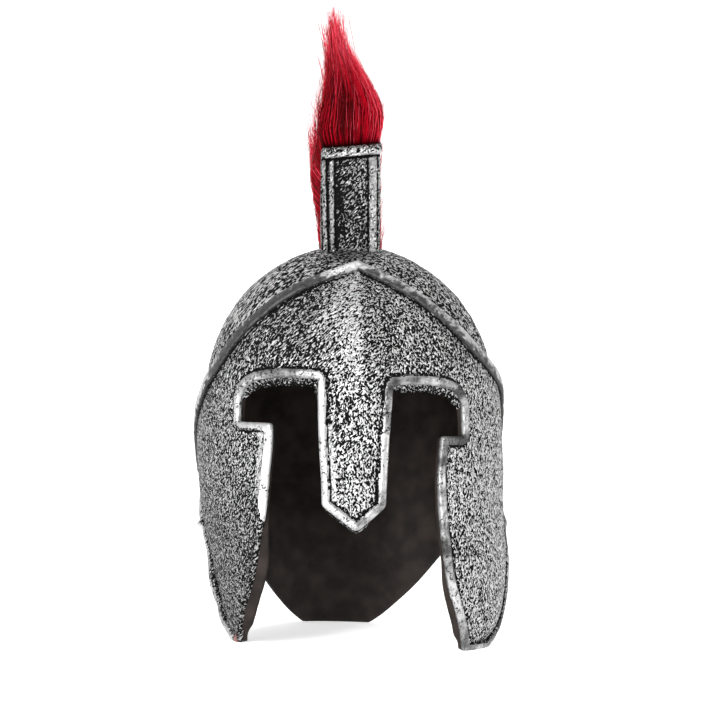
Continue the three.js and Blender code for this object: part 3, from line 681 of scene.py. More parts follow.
def skull():
    """Bowl, back and neck guard in one hollow shell, open below."""
    columns, rows = BOWL_COLUMNS, BOWL_ROWS
    turns = np.linspace(-180, 180, columns, endpoint=False)
    edge = drop_at(CROWN_HEIGHT * read(NECK_EDGE, "turn", "height", np.abs(turns)))
    lap = LAP * np.clip((NECK_TURN - np.abs(turns)) / (NECK_TURN - EAR_TURN), 0, 1)
    lower = np.where(np.abs(turns) < EAR_TURN, seam_drop(turns), edge) + lap
    share = np.linspace(0.004, 1, rows)
    drop = lower[:, None] * share[None, :]
    turn = np.broadcast_to(turns[:, None], drop.shape)
    flat_turn, flat_drop = turn.ravel(), drop.ravel()
    base, normal = surface(flat_turn, flat_drop), normals(flat_turn, flat_drop)
    pits, relief = hammered(base)
    to_edge = (lower[:, None] * (1 - share[None, :])).ravel()
    fade = np.where(np.abs(flat_turn) < EAR_TURN, smoothstep(LAP + 2, LAP + 10, to_edge),
                    smoothstep(0, 5, to_edge))
    rounding = 1.2 * (1 - smoothstep(0, 3, to_edge)) * (np.abs(flat_turn) >= EAR_TURN)
    outer = base + normal * (relief * fade - rounding)[:, None]
    waves = 0.3 * noise(base, 9, 11)
    inner = base + normal * (-WALL + waves + rounding)[:, None]
    faces = grid_faces(columns, rows, wrap_rows=True)
    count = len(outer)
    rim = np.arange(columns) * rows + rows - 1
    following = np.roll(rim, -1)
    wall = np.stack([rim, rim + count, following + count, following], -1)
    tops = np.arange(columns) * rows
    crown = 2 * count
    fan = np.stack([tops, np.roll(tops, -1), np.full(columns, crown)], -1)[:, ::-1]
    inner_fan = np.stack([tops + count, np.roll(tops, -1) + count, np.full(columns, crown + 1)], -1)
    top = np.array([[0, 0, CROWN_HEIGHT], [0, 0, CROWN_HEIGHT - WALL]])
    points = np.concatenate([outer, inner, top])
    points[:, 2] = np.maximum(points[:, 2], 0)
    silver = np.concatenate([PIT_TONE * pits * fade - BOWL_THIN, np.zeros(count), [0, 0]])
    all_faces = [faces, fan, wall, faces[:, ::-1] + count, inner_fan]
    kinds = np.concatenate([np.full(len(f), kind) for f, kind in zip(all_faces, (0, 0, 1, 1, 1))])
    obj = make_mesh("bowl", points, all_faces, {"silver": silver})
    return settle(obj, ["skull"], [HAMMERED_BOWL, FOAM], kinds)


def wall_flare(places):
    """How far the moulded wall's inner edge reaches out beyond its outer edge: into the eyes at
    their tops, and a little round the nasal, most at its tip."""
    turn, height = places[:, 0], height_at(places[:, 1])
    away = np.abs(turn)
    brow = EYE_FLARE * smoothstep(EYE_TOP_HEIGHT - 24, EYE_TOP_HEIGHT - 10, height)
    brow = brow * smoothstep(9, 14, away) * (1 - smoothstep(38, 45, away))
    nasal = np.where(turn < 3, NASAL_FLARE, 0.3 * NASAL_FLARE) * (height > NASAL_TIP_HEIGHT - 5)
    tip = 1 - smoothstep(NASAL_TIP_HEIGHT + 14, NASAL_TIP_HEIGHT + 26, height)
    nasal = nasal * (0.4 + 0.6 * tip) * (1 - smoothstep(15, 18, away))
    return np.maximum(brow, nasal * (height < EYE_TOP_HEIGHT - 20))


def bare_flare(places):
    """How far the bare walls of the cheek guards show beyond their painted edges, low down."""
    turn, height = places[:, 0], height_at(places[:, 1])
    left = smoothstep(4, 22, height) * (1 - smoothstep(60, 112, height)) * (turn < -28) * (turn > -58)
    right = smoothstep(4, 16, height) * (1 - smoothstep(36, 76, height)) * (turn > 28) * (turn < 50)
    return CHEEK_FLARE * (left + 0.45 * right)


def dullness_and_keel_light(turn, height):
    """How dull and how thin the silver is: most on the left of the brow and low on the left cheek
    guard, with a painted highlight down the keel's left flank and painted shade on its right."""
    upper = smoothstep(190, 225, height)
    low = 1 - smoothstep(70, 140, height)
    cheek = (turn < -20) * np.stack([0.16 + 0.26 * low, 0.045 + 0.025 * low])
    # The keel's left flank is a painted highlight and its right flank painted shade
    brow = np.stack([line_read(BROW_DULL_AND_KEEL_LIGHT, "turn", key, turn) for key in ("dull", "thin")])
    return cheek + (brow - cheek) * upper


def groove_shade_strength(points, turn, height):
    """How dark the painted shade in the groove along the border is: it fades on the left cheek guard, low
    and behind.
    """
    low = (turn < -20) * (1 - smoothstep(96, 112, height))
    return (0.7 + 0.6 * noise(points, 16, 15)) * (1 - np.maximum(low, turn < -56))


def below_seam(turn, drop):
    """Distance in mm below the face guard's upper edge, square to it."""
    run = np.linalg.norm(surface(turn + 1, drop) - surface(turn - 1, drop), axis=-1)
    slope = (seam_drop(turn + 1) - seam_drop(turn - 1)) / run
    return (drop - seam_drop(turn)) / np.hypot(1, slope)


def line_at(distance, middle, half):
    """1 on a line at a distance from an edge, falling to 0 at half its width on either side."""
    return 1 - smoothstep(0.4 * half, half, np.abs(distance - middle))


def guard_paint(base, turn, drop, distance, bumps):
    """How much silver the face guard's outside keeps, and how dull it is: painted shade in the groove
    along the border and a painted shadow under the brow band, rubbed bright beside the left cheek's front
    edge."""
    height = height_at(drop)
    # Painted shade in the groove along the border, and a painted shadow under the brow band
    groove = line_at(distance, RIM_WIDTH, 1.4) * groove_shade_strength(base, turn, height)
    under_band_shadow = line_at(below_seam(turn, drop), BAND_BELOW + 0.6, 1.3)
    rubbed = (1 - smoothstep(9, 12, distance)) * smoothstep(-38, -33, turn) * (turn < 0)
    rubbed = rubbed * smoothstep(100, 130, height) * (height < CHEEK_TOP["left"] + 1)
    dark = GROOVE_SHADE * np.maximum(groove * (1 - rubbed), under_band_shadow)
    dull, thin = dullness_and_keel_light(turn, height)
    return PIT_TONE * bumps - dark - thin + 0.2 * rubbed, dull * (1 - rubbed)


def face_guard():
    """Brow, nasal and both cheek guards in one plate with a T-shaped opening."""
    whole = guard_outlines()[1]
    places, distance, quads, triangles = clipped_grid(whole, whole, True, GUARD_CELL)
    turn, drop = places.T
    base, normal = surface(turn, drop), normals(turn, drop)
    pits, relief = hammered(base)
    fade = smoothstep(RIM_WIDTH - 1.5, RIM_WIDTH + 3, distance)
    outer = base + normal * (GUARD_OUTSIDE + relief * fade - 0.3 * (1 - fade))[:, None]
    outward = edge_directions(whole, True, places)
    tone, dull = guard_paint(base, turn, drop, distance, pits * fade)
    layers, tones = [outer], [tone]
    flare = wall_flare(places)
    full_flare = flare + bare_flare(places)
    for share in WALL_LAYERS:
        rough = 0.35 * noise(base + normal * GUARD_WALL * share, 3.0, 12) * (share < 1)
        offset = GUARD_OUTSIDE - GUARD_WALL * share
        reach = -EDGE_RECESS + full_flare * share + rough
        if share == 1:
            reach = np.where(distance == 0, -EDGE_RECESS + full_flare, 0)
            offset = offset + 0.25 * noise(base, 9, 13)
        level = np.broadcast_to(offset, turn.shape)[:, None]
        layers.append(base + normal * level + outward * reach[:, None])
        # The wall's bevel gets painted shade, darker the deeper it lies
        tones.append(PIT_TONE * pits - BEVEL_SHADE * (0.3 + share))
    points, faces, used = thick_sheet(layers, quads, triangles)
    points[:, 2] = np.maximum(points[:, 2], 0)
    tone = np.concatenate(tones)[used]
    dull = np.tile(dull, len(layers))[used]
    bevel = np.tile(flare, len(layers))[used]
    kinds = []
    for i, face in enumerate(faces):
        painted = (i < 2) | ((bevel[face].mean(1) > 1.0) & (i < 2 + len(WALL_LAYERS)))
        kinds.append(np.where(painted, 0, 1))
    obj = make_mesh("face_guard_plate", points, faces, {"silver": tone, "dull": dull})
    return settle(obj, ["face_guard"], [HAMMERED, FOAM], np.concatenate(kinds))


def bright_width(turn, height):
    """How wide the border's bright band is: narrow round the left eye's outer corner, and gone
    low on the left cheek guard's front edge."""
    corner = (turn < -33) * smoothstep(160, 167, height) * (1 - smoothstep(190, 200, height))
    low = (turn < -20) * (turn > -57) * (1 - smoothstep(92, 116, height))
    return RIM_BRIGHT - 1.8 * corner - 6.7 * low


def border_tarnish_and_light(points, turn, height):
    """How dark the bright border is: random tarnish, least along the left cheek guard and most behind
    and over the left eye. The lighter left side is a painted highlight; the darker right side and the
    darker tops of the eyes are painted shade."""
    eye_top = smoothstep(188, 198, height) * smoothstep(13, 20, np.abs(turn))
    cheek = (height < 166) * (np.abs(turn) > 20)
    total = 0.22 + 0.30 * noise(points, 34, 24) + 0.22 * noise(points, 8, 25)
    # Painted shade over the eyes, most over the left eye
    total = total + eye_top * np.where(turn < 0, 0.34, 0.14) + 0.2 * (turn < -57)
    # Lighter on the left, a painted highlight, and darker on the right, painted shade
    return total + np.where(turn < 0, -0.12 - 0.5 * cheek * (turn > -40), 0.16 + 0.12 * cheek)


def edge_directions(path, closed, places):
    """Unit vectors out of the plate at the outline's place nearest to each place."""
    points = surface(path[:, 0], path[:, 1])
    if closed:
        tangent = np.roll(points, -1, 0) - np.roll(points, 1, 0)
    else:
        tangent = np.gradient(points, axis=0)
    out = np.cross(tangent, normals(path[:, 0], path[:, 1]))
    out /= np.linalg.norm(out, axis=1, keepdims=True)
    tree = tree_of(points)
    found = [tree.find(p)[1] for p in surface(places[:, 0], places[:, 1])]
    return out[found]


def blemishes(points):
    """Height in mm that the border's lumps and dents add at each point."""
    total = np.zeros(len(points))
    for turn, height, reach, lift in zip(*BLEMISHES.values()):
        middle = surface(turn, drop_at(height))
        total += lift * np.exp(-np.sum((points - middle) ** 2, 1) / reach ** 2)
    return total


def torn(points):
    """How far each point belongs to the torn corner of the left cheek guard, from 0 to 1."""
    middle = surface(TORN_TURN, drop_at(TORN_HEIGHT))
    distance = np.linalg.norm(points - middle, axis=1) + 2.2 * noise(points, 3.0, 61)
    return 1 - smoothstep(TORN_REACH - 1.5, TORN_REACH + 1.5, distance)


def face_rim():
    """The rolled border, which wraps a little way over the wall's edge and ends in a groove darkened with
    painted shade.
    """
    rim, whole = guard_outlines()
    rim = rim[np.abs(rim[:, 0]) < RIM_LAST_TURN]
    places, distance, quads, triangles = clipped_grid(whole, rim, False, RIM_CELL, RIM_WIDTH)
    turn, drop = places.T
    level = height_at(drop)
    base, normal = surface(turn, drop), normals(turn, drop)
    uneven = 1 + 0.14 * noise(base, 26, 21) + 0.12 * noise(base, 7, 22)
    pits, relief = hammered(base)
    height = RIM_HEIGHT * line_read(RIM_PROFILE, "across", "height", distance)
    height = height * uneven + 0.5 * relief * smoothstep(4, 7, distance) + blemishes(base)
    ragged = torn(base)
    outward = edge_directions(rim, False, places)
    at_edge = distance < 1e-6
    frayed = ragged * 1.6 * noise(base, 2.2, 62)
    layers = []
    for share, reach in ((0.0, 0.15), (0.4, 0.5), (1.0, 0.35)):
        wrap = share * np.where(at_edge, RIM_WRAP + 0.5, height + 0.4)
        depth = GUARD_OUTSIDE + height - wrap
        layers.append(base + normal * depth[:, None] + outward * ((reach + frayed) * at_edge)[:, None])
    points, faces, used = thick_sheet(layers, quads, triangles)
    points[:, 2] = np.maximum(points[:, 2], 0)
    # Painted shade in the groove at the border's foot
    groove = line_at(distance, RIM_WIDTH - 0.6, 1.3) * groove_shade_strength(base, turn, level)
    dull, thin = dullness_and_keel_light(turn, level)
    values = {
        "silver": PIT_TONE * pits - GROOVE_SHADE * groove - thin,
        "tarnish": border_tarnish_and_light(base, turn, level),
        "dull": dull,
    }
    values = {key: np.tile(value, len(layers))[used] for key, value in values.items()}
    away = np.tile(distance - bright_width(turn, level), len(layers))[used]
    tear = np.tile(ragged, len(layers))[used]
    kinds = []
    for face in faces:
        limit = 0.5 * noise(points[face].mean(1), 4, 23)
        kinds.append(np.where(tear[face].mean(1) > 0.5, 2, np.where(away[face].mean(1) > limit, 1, 0)))
    obj = make_mesh("face_border", points, faces, values)
    return settle(obj, ["face_rim"], [BRIGHT, HAMMERED, TORN], np.concatenate(kinds))


def brow_band():
    """The raised band from ear to ear, with its peak over the nose."""
    turns = np.arange(-EAR_TURN + 0.5, EAR_TURN, 0.5)
    path = soften(even_path(np.stack([turns, seam_drop(turns)], -1), BAND_STEP), 1.2, False)
    turn, drop = path.T
    base, normal = surface(turn, drop), normals(turn, drop)
    tangent = np.gradient(base, axis=0)
    side = np.cross(normal, tangent)
    side /= np.linalg.norm(side, axis=1, keepdims=True)
    across, up = BAND_PROFILE["across"], BAND_PROFILE["up"]
    wide = (1 + 0.12 * noise(base, 30, 31) + 0.06 * noise(base, 9, 32))[:, None]
    tall = (0.6 * noise(base, 24, 33) + 0.35 * noise(base, 7, 34))[:, None] * (up > 2)
    from_end = np.minimum(np.arange(len(base)), np.arange(len(base))[::-1])
    ends = smoothstep(0, 8, from_end * BAND_STEP)[:, None]
    level = (up + tall) * (0.55 + 0.45 * ends)
    points = base[:, None] + side[:, None] * (across * wide)[..., None]
    points = points + normal[:, None] * level[..., None]
    # Tarnish, with a painted highlight near the peak and painted shade along the lower edge
    tarnish = line_read(BAND_TARNISH_AND_HIGHLIGHT, "turn", "tarnish", turn) + 0.1 * noise(base, 12, 35)
    edge_shade = line_read(BAND_EDGE_SHADE, "across", "tarnish", across)
    mottle = 0.6 * noise(points.reshape(-1, 3), 3.0, 36).reshape(level.shape)
    tarnish = tarnish[:, None] + edge_shade + mottle
    rings, sides = len(base), len(across)
    faces = grid_faces(rings, sides, wrap_columns=True)
    caps = [np.arange(sides)[None], (np.arange(sides)[::-1] + (rings - 1) * sides)[None]]
    values = {"tarnish": tarnish.ravel()}
    obj = make_mesh("brow_band_moulding", points.reshape(-1, 3), [faces, *caps], values)
    return settle(obj, ["brow_band"], [BRIGHT])


def bowl_reach(angle):
    """The bowl's reach in its middle plane, by degrees over from the top."""
    over = np.radians(angle)
    cosine = np.cos(over)
    level = np.minimum(1, 1 - BOWL_LENGTH / 2 * np.maximum(0, -cosine) / WIDEST)
    half_length = BOWL_LENGTH / 2 * np.where(angle < 0, read(WALLS, "level", "front", level),
                                             read(WALLS, "level", "back", level))
    rise = np.where(angle > 90, 1e9, BOWL_RISE)
    return 1 / np.hypot(np.sin(over) / half_length, cosine / rise)


def crest_top(angle):
    return bowl_reach(angle) + CREST_HEIGHT * read(CREST_ARC, "angle", "height", angle)


def crest_shift(y, z):
    """How far the crest's middle lies to the side, as it leans and is a little askew."""
    lean = (z - CROWN_HEIGHT) * math.tan(math.radians(CREST_LEAN))
    return CREST_SHIFT + y * math.tan(math.radians(CREST_SKEW)) - lean


def crest_place(x, angle, radius):
    """Points of the crest by reach to the side, degrees over and distance from the bowl's centre."""
    x, angle, radius = np.broadcast_arrays(x, angle, radius)
    over = np.radians(angle)
    y, z = radius * np.sin(over), WIDEST + radius * np.cos(over)
    return np.stack([x + crest_shift(y, z), y, z], -1)


def front_angle(radius, front=CREST_FRONT):
    """Degrees over at which the crest's upright front plane meets a radius."""
    return -np.degrees(np.arcsin(front / radius))


def front_end():
    """Degrees over of the crest's top edge at its front."""
    return front_angle(crest_top(np.array([CREST_FRONT_ANGLE])))[0]


def tilt(x, angle):
    """The top of the box rises towards one side at the front."""
    return x * math.tan(math.radians(CREST_TOP_TILT)) * (1 - smoothstep(0, 60, angle))


def bowl_foot(x, angle_of):
    """The radius at which the crest's wall meets the bowl, angle_of giving degrees by radius."""
    low, high = np.full_like(x, 60.0), np.full_like(x, 175.0)
    for _ in range(28):
        middle = (low + high) / 2
        p = crest_place(x, angle_of(middle), middle)
        turn = np.degrees(np.arctan2(p[..., 0], -p[..., 1]))
        wall = surface(turn, drop_at(np.minimum(p[..., 2], CROWN_HEIGHT)))
        within = np.hypot(p[..., 0], p[..., 1]) < np.hypot(wall[..., 0], wall[..., 1])
        within &= p[..., 2] < CROWN_HEIGHT
        low, high = np.where(within, middle, low), np.where(within, high, middle)
    return high


def plate_centre(top_at, foot_at, up):
    """Where a rib or line of the front plate lies, as it bends from its top to its foot."""
    return top_at + (foot_at - top_at) * (1 - up[None]) ** 2


def plate_relief(x, above_foot, up):
    """Height of the front plate's ribs, at its sides and along its foot."""
    relief = np.zeros_like(x)
    for top_at, foot_at, half, height in zip(*PLATE_RIBS.values()):
        away = np.abs(x - plate_centre(top_at, foot_at, up)) / half
        relief = np.maximum(relief, height * (1 - smoothstep(0.55, 1.0, away)))
    foot_rib = 0.8 * (1 - smoothstep(1.0, 2.6, above_foot))
    return np.maximum(relief, foot_rib * (np.abs(x) < 17))


def plate_shade_lines(x, below_top, up):
    """The front plate's lines of painted shade, a painted shadow under the lip and painted shade
    beside the ribs: 1 on a line, 0 away from it.
    """
    # A painted shadow under the lip, and painted shade along the listed lines beside the ribs
    lines = line_at(below_top, 6.2, 2.2) * np.ones_like(x)
    for top_at, foot_at, half in zip(*PLATE_SHADE_LINES.values()):
        lines = np.maximum(lines, line_at(x, plate_centre(top_at, foot_at, up), half))
    return lines


def crest_front_plate():
    """The flat front of the crest box, with ribs at its sides round a sunken middle."""
    across, up = np.linspace(-1, 1, 85), np.linspace(0, 1, 110)
    barrel = 1 + 0.05 * np.sin(np.pi * up) ** 0.7 - 0.02 - 0.03 * (1 - up) ** 2
    x = HALF_CREST * across[:, None] * barrel[None]
    foot = bowl_foot(x[:, 0], front_angle) + GAP
    top = crest_top(front_angle(FRONT_TOP_RADIUS)) + tilt(x[:, -1], np.full(len(across), CREST_FRONT_ANGLE))
    foot_z = WIDEST + foot * np.cos(np.radians(front_angle(foot)))
    top_z = WIDEST + top * np.cos(np.radians(front_angle(top)))
    z = foot_z[:, None] + (top_z - foot_z)[:, None] * up[None]
    relief = plate_relief(x, z - foot_z[:, None], up)
    lines = plate_shade_lines(x, top_z[:, None] - z, up)
    sides = smoothstep(12.0, 13.5, np.abs(x - 1)) * 0.5
    place = np.stack([x, np.zeros_like(x), z], -1).reshape(-1, 3)
    pits, skin = hammered(place)
    quiet = np.clip(1 - relief.ravel(), 0.15, 1)
    depth = relief.ravel() + sides.ravel() - 0.5 * lines.ravel() + skin * quiet - 0.9
    shift = crest_shift(-CREST_FRONT, z)
    front = np.stack([(x + shift).ravel(), -CREST_FRONT - depth, z.ravel()], -1)
    back = np.stack([(x + shift).ravel(), np.full(x.size, -CREST_FRONT + CREST_WALL), z.ravel()], -1)
    faces = grid_faces(len(across), len(up))[:, ::-1]
    points, sheets, used = thick_sheet([front, back], faces)
    bare = 0.04 * smoothstep(2, 12, x.ravel()) - 0.09 * smoothstep(0, -11, x.ravel())
    panel = PANEL_TONE + 0.07 * noise(place, 9, 71) + bare
    # The lines are painted shade
    tone = PIT_TONE * pits * quiet + (0.14 * relief - 0.30 * lines).ravel() + panel * (quiet > 0.7)
    return points, sheets, np.tile(tone, 2)[used]


def crest_wall():
    """The crest box's sides and top, swept over the bowl from the front plate to its lower end."""
    shares = np.linspace(0, 1, CREST_STATIONS)

    def angle_at(radius, share=shares):
        first = front_angle(radius, CREST_FRONT - CREST_WALL + 0.2)
        return first + (CREST_END_ANGLE - first) * share

    def side(x, inset):
        level = np.full(CREST_STATIONS, CREST_RADIUS_GUESS)
        for _ in range(3):
            angle = angle_at(level)
            level = crest_top(angle) + tilt(x, angle) - inset
        foot = bowl_foot(np.full(CREST_STATIONS, float(x)), angle_at) + GAP
        up = np.linspace(0, 1, CREST_ROWS)[None]
        radius = foot[:, None] + (level - foot)[:, None] * up
        return crest_place(np.full_like(radius, x), angle_at(radius, shares[:, None]), radius)

    outer_left, outer_right = side(-HALF_CREST, 0), side(HALF_CREST, 0)
    inner_left = side(-HALF_CREST + CREST_WALL, CREST_WALL)
    inner_right = side(HALF_CREST - CREST_WALL, CREST_WALL)
    mid = np.linspace(0, 1, CREST_OVER_COLUMNS + 2)[1:-1]

    def over(left, right):
        return left[:, -1:] + (right[:, -1:] - left[:, -1:]) * mid[None, :, None]

    outer = np.concatenate([outer_left, over(outer_left, outer_right), outer_right[:, ::-1]], 1)
    inner = np.concatenate([inner_left, over(inner_left, inner_right), inner_right[:, ::-1]], 1)
    flat = outer.reshape(-1, 3)
    pits, skin = hammered(flat)
    across = np.gradient(outer, axis=1)
    along = np.gradient(outer, axis=0)
    normal = np.cross(across, along).reshape(-1, 3)
    normal /= np.maximum(np.linalg.norm(normal, axis=1, keepdims=True), 1e-9)
    flat = flat + normal * skin[:, None]
    faces = grid_faces(*outer.shape[:2])
    points, sheets, used = thick_sheet([flat, inner.reshape(-1, 3)], faces)
    return points, sheets, np.tile(PIT_TONE * pits, 2)[used]


def crest_end_plate():
    """The plate that closes the crest box's lower end."""
    across, up = np.linspace(-1, 1, 24), np.linspace(0, 1, 20)
    x = HALF_CREST * across[:, None] * np.ones_like(up)[None]
    foot = bowl_foot(x[:, 0], lambda radius: np.full_like(radius, CREST_END_ANGLE)) + GAP
    top = crest_top(np.array([CREST_END_ANGLE]))[0]
    radius = foot[:, None] + (top - foot)[:, None] * up[None]
    turn_back = math.degrees(CREST_WALL / CREST_RADIUS_GUESS)
    outer = crest_place(x, CREST_END_ANGLE + 0.05, radius).reshape(-1, 3)
    inner = crest_place(x, CREST_END_ANGLE - turn_back, radius).reshape(-1, 3)
    pits, skin = hammered(outer)
    outer = outer - np.array([0, 0, 1]) * skin[:, None]
    faces = grid_faces(len(across), len(up))
    points, sheets, used = thick_sheet([outer, inner], faces)
    return points, sheets, np.tile(PIT_TONE * pits, 2)[used]


def join(parts):
    """Joins (points, faces, attribute) parts into one."""
    points, faces, values = [], [], []
    start = 0
    for part_points, part_faces, value in parts:
        faces.extend(f + start for f in part_faces)
        points.append(part_points)
        values.append(value)
        start += len(part_points)
    return np.concatenate(points), faces, np.concatenate(values)


def crest_box():
    points, faces, silver = join([crest_front_plate(), crest_wall(), crest_end_plate()])
    dull = CREST_DULL + 0.12 * noise(points, 14, 72)
    obj = make_mesh("crest_box_shell", points, faces, {"silver": silver, "dull": dull})
    return settle(obj, ["crest_box"], [HAMMERED])


def lip_path(end):
    """The lip's middle line, unrolled, with rounded corners: reach to the side, way along the
    crest from its front to the given end, and the direction outwards in both."""
    near, far, half = LIP_CORNER, end - LIP_CORNER, HALF_CREST - LIP_CORNER
    arc = np.radians(np.linspace(0, 90, 7))
    plan = []
    for x, s, turn in ((half, near, 0), (half, far, 90), (-half, far, 180), (-half, near, 270)):
        for a in arc + math.radians(turn):
            out_x, out_s = math.sin(a), -math.cos(a)
            plan.append((x + LIP_CORNER * out_x, s + LIP_CORNER * out_s, out_x, out_s))
    plan = np.array(plan + [plan[0]])
    along = np.concatenate([[0], np.cumsum(np.hypot(*np.diff(plan[:, :2], axis=0).T))])
    at = np.linspace(0, along[-1], LIP_RINGS)[:-1]
    return [np.interp(at, along, plan[:, k]) for k in range(4)]


def crest_lip():
    """The rolled frame round the top of the box."""
    top = crest_top(np.array([0.0]))[0]
    end = math.radians(CREST_END_ANGLE - front_angle(np.array([top]))[0]) * LIP_ARC_RADIUS
    x, s, out_x, out_s = lip_path(end)
    knob = 1 + 0.5 * np.exp(-((x - HALF_CREST) ** 2 + s ** 2) / 60)
    out, up = LIP_PROFILE["out"], LIP_PROFILE["up"]
    px = x[:, None] + out_x[:, None] * out * LIP_SIDE * knob[:, None]
    px = px + LIP_INSET * smoothstep(0.2, 1.0, -px / HALF_CREST)
    ps = s[:, None] + out_s[:, None] * out * knob[:, None]
    round_arc = np.degrees(ps / LIP_ARC_RADIUS)
    angle = front_angle(np.full_like(ps, top)) + round_arc
    radius = crest_top(angle) + tilt(px, angle) + up
    angle = front_angle(radius) + round_arc
    points = crest_place(px, angle, radius).reshape(-1, 3)
    points += 0.30 * wander(points, 5, 41)
    rings, sides = len(x), len(out)
    faces = grid_faces(rings, sides, wrap_rows=True, wrap_columns=True)
    edge = np.tile(up < -3, rings)
    values = {"silver": 0.06 * noise(points, 9, 44) + 0.12 * edge, "dull": 0.30 - 0.2 * edge}
    obj = make_mesh("crest_lip_roll", points, [faces], values)
    return settle(obj, ["crest_lip"], [HAMMERED])


def strand_faces(count):
    """Quads and triangles of tapered strands: each has rings of three corners and then its tip."""
    block = STRAND_RINGS * 3 + 1
    index = np.arange(block - 1).reshape(STRAND_RINGS, 3)
    following = np.roll(index, -1, 1)
    quads = np.stack([index[:-1], following[:-1], following[1:], index[1:]], -1).reshape(-1, 4)
    tip = np.full(3, block - 1)
    triangles = np.concatenate([np.stack([index[-1], following[-1], tip], -1), index[:1, ::-1]])
    starts = (np.arange(count) * block)[:, None, None]
    return (quads[None] + starts).reshape(-1, 4), (triangles[None] + starts).reshape(-1, 3)


def plume_place(across, angle, along, length):
    """Points of the plume: across from 0 to 1, degrees over, share of the way up, and length."""
    lean, wide, aside = [read(PLUME_ROWS, "angle", key, angle) for key in ("lean", "wide", "aside")]
    left, right, half = [line_read(PLUME_EDGES, "along", key, along) for key in ("left", "right", "half")]
    half = wide * half
    aside = aside * smoothstep(0, 0.2, along)
    left = left * lean + (aside - half) * (1 - lean)
    right = right * lean + (aside + half) * (1 - lean)
    x = left + (right - left) * across
    root = crest_top(angle) + tilt(x, angle) * (1 - along) + GAP
    return crest_place(x, angle, root + length * along)


def plume_length(angle):
    return PLUME_LENGTH * read(PLUME_ROWS, "angle", "length", angle)


def plume_core():
    """The dense underfur, dark with painted shade deep in the fur: a closed fin along the crest."""
    angles = np.linspace(front_end() + 1.5, CREST_END_ANGLE - 1, 120)
    loop = np.linspace(0, 2 * math.pi, 40, endpoint=False)
    across = 0.5 + 0.46 * np.cos(loop)
    along = np.clip(0.30 + 0.34 * np.sin(loop), 0.012, 1)
    ends = np.sqrt(np.clip(1 - np.abs(np.linspace(-1, 1, len(angles))) ** 24, 0.02, 1))
    angle = np.broadcast_to(angles[:, None], (len(angles), len(loop)))
    rise = along[None] * ends[:, None]
    across = np.broadcast_to(across[None], angle.shape)
    points = plume_place(across, angle, rise, plume_length(angle)).reshape(-1, 3)
    points += 1.2 * wander(points, 6, 51) * (rise.ravel() > 0.05)[:, None]
    faces = grid_faces(len(angles), len(loop), wrap_columns=True)
    last = (len(angles) - 1) * len(loop)
    caps = [np.arange(len(loop))[None], (np.arange(len(loop))[::-1] + last)[None]]
    # The underfur stays dark: painted shade inside the fur
    values = {"strand": np.full(len(points), 0.1), "along": rise.ravel() * 0.5}
    obj = make_mesh("plume_underfur", points, [faces, *caps], values)
    return settle(obj, ["plume"], [FUR])


def strand_tone_and_light(tuft, tufts, across, along, angle):
    """How light each strand is: its own tone and its tuft's, with painted shade in a hollow left of
    the middle, darker on the left in front, and a painted highlight near the right."""
    shade = 0.46 + 0.36 * rng.normal(size=(len(tuft), 1)) + rng.uniform(-0.2, 0.2, tufts)[tuft][:, None]
    # Painted shade in a hollow left of the middle, and a painted highlight near the right
    hollow = 0.62 * np.exp(-((across - 0.42) / 0.17) ** 2) * smoothstep(0.02, 0.2, along)
    shade = shade - hollow * (1 - smoothstep(0.4, 0.75, along)) + 0.25 * smoothstep(0.72, 0.95, across)
    return shade - 0.36 * (1 - smoothstep(0.05, 0.35, across)) * (angle < FRONT_FUR_END)


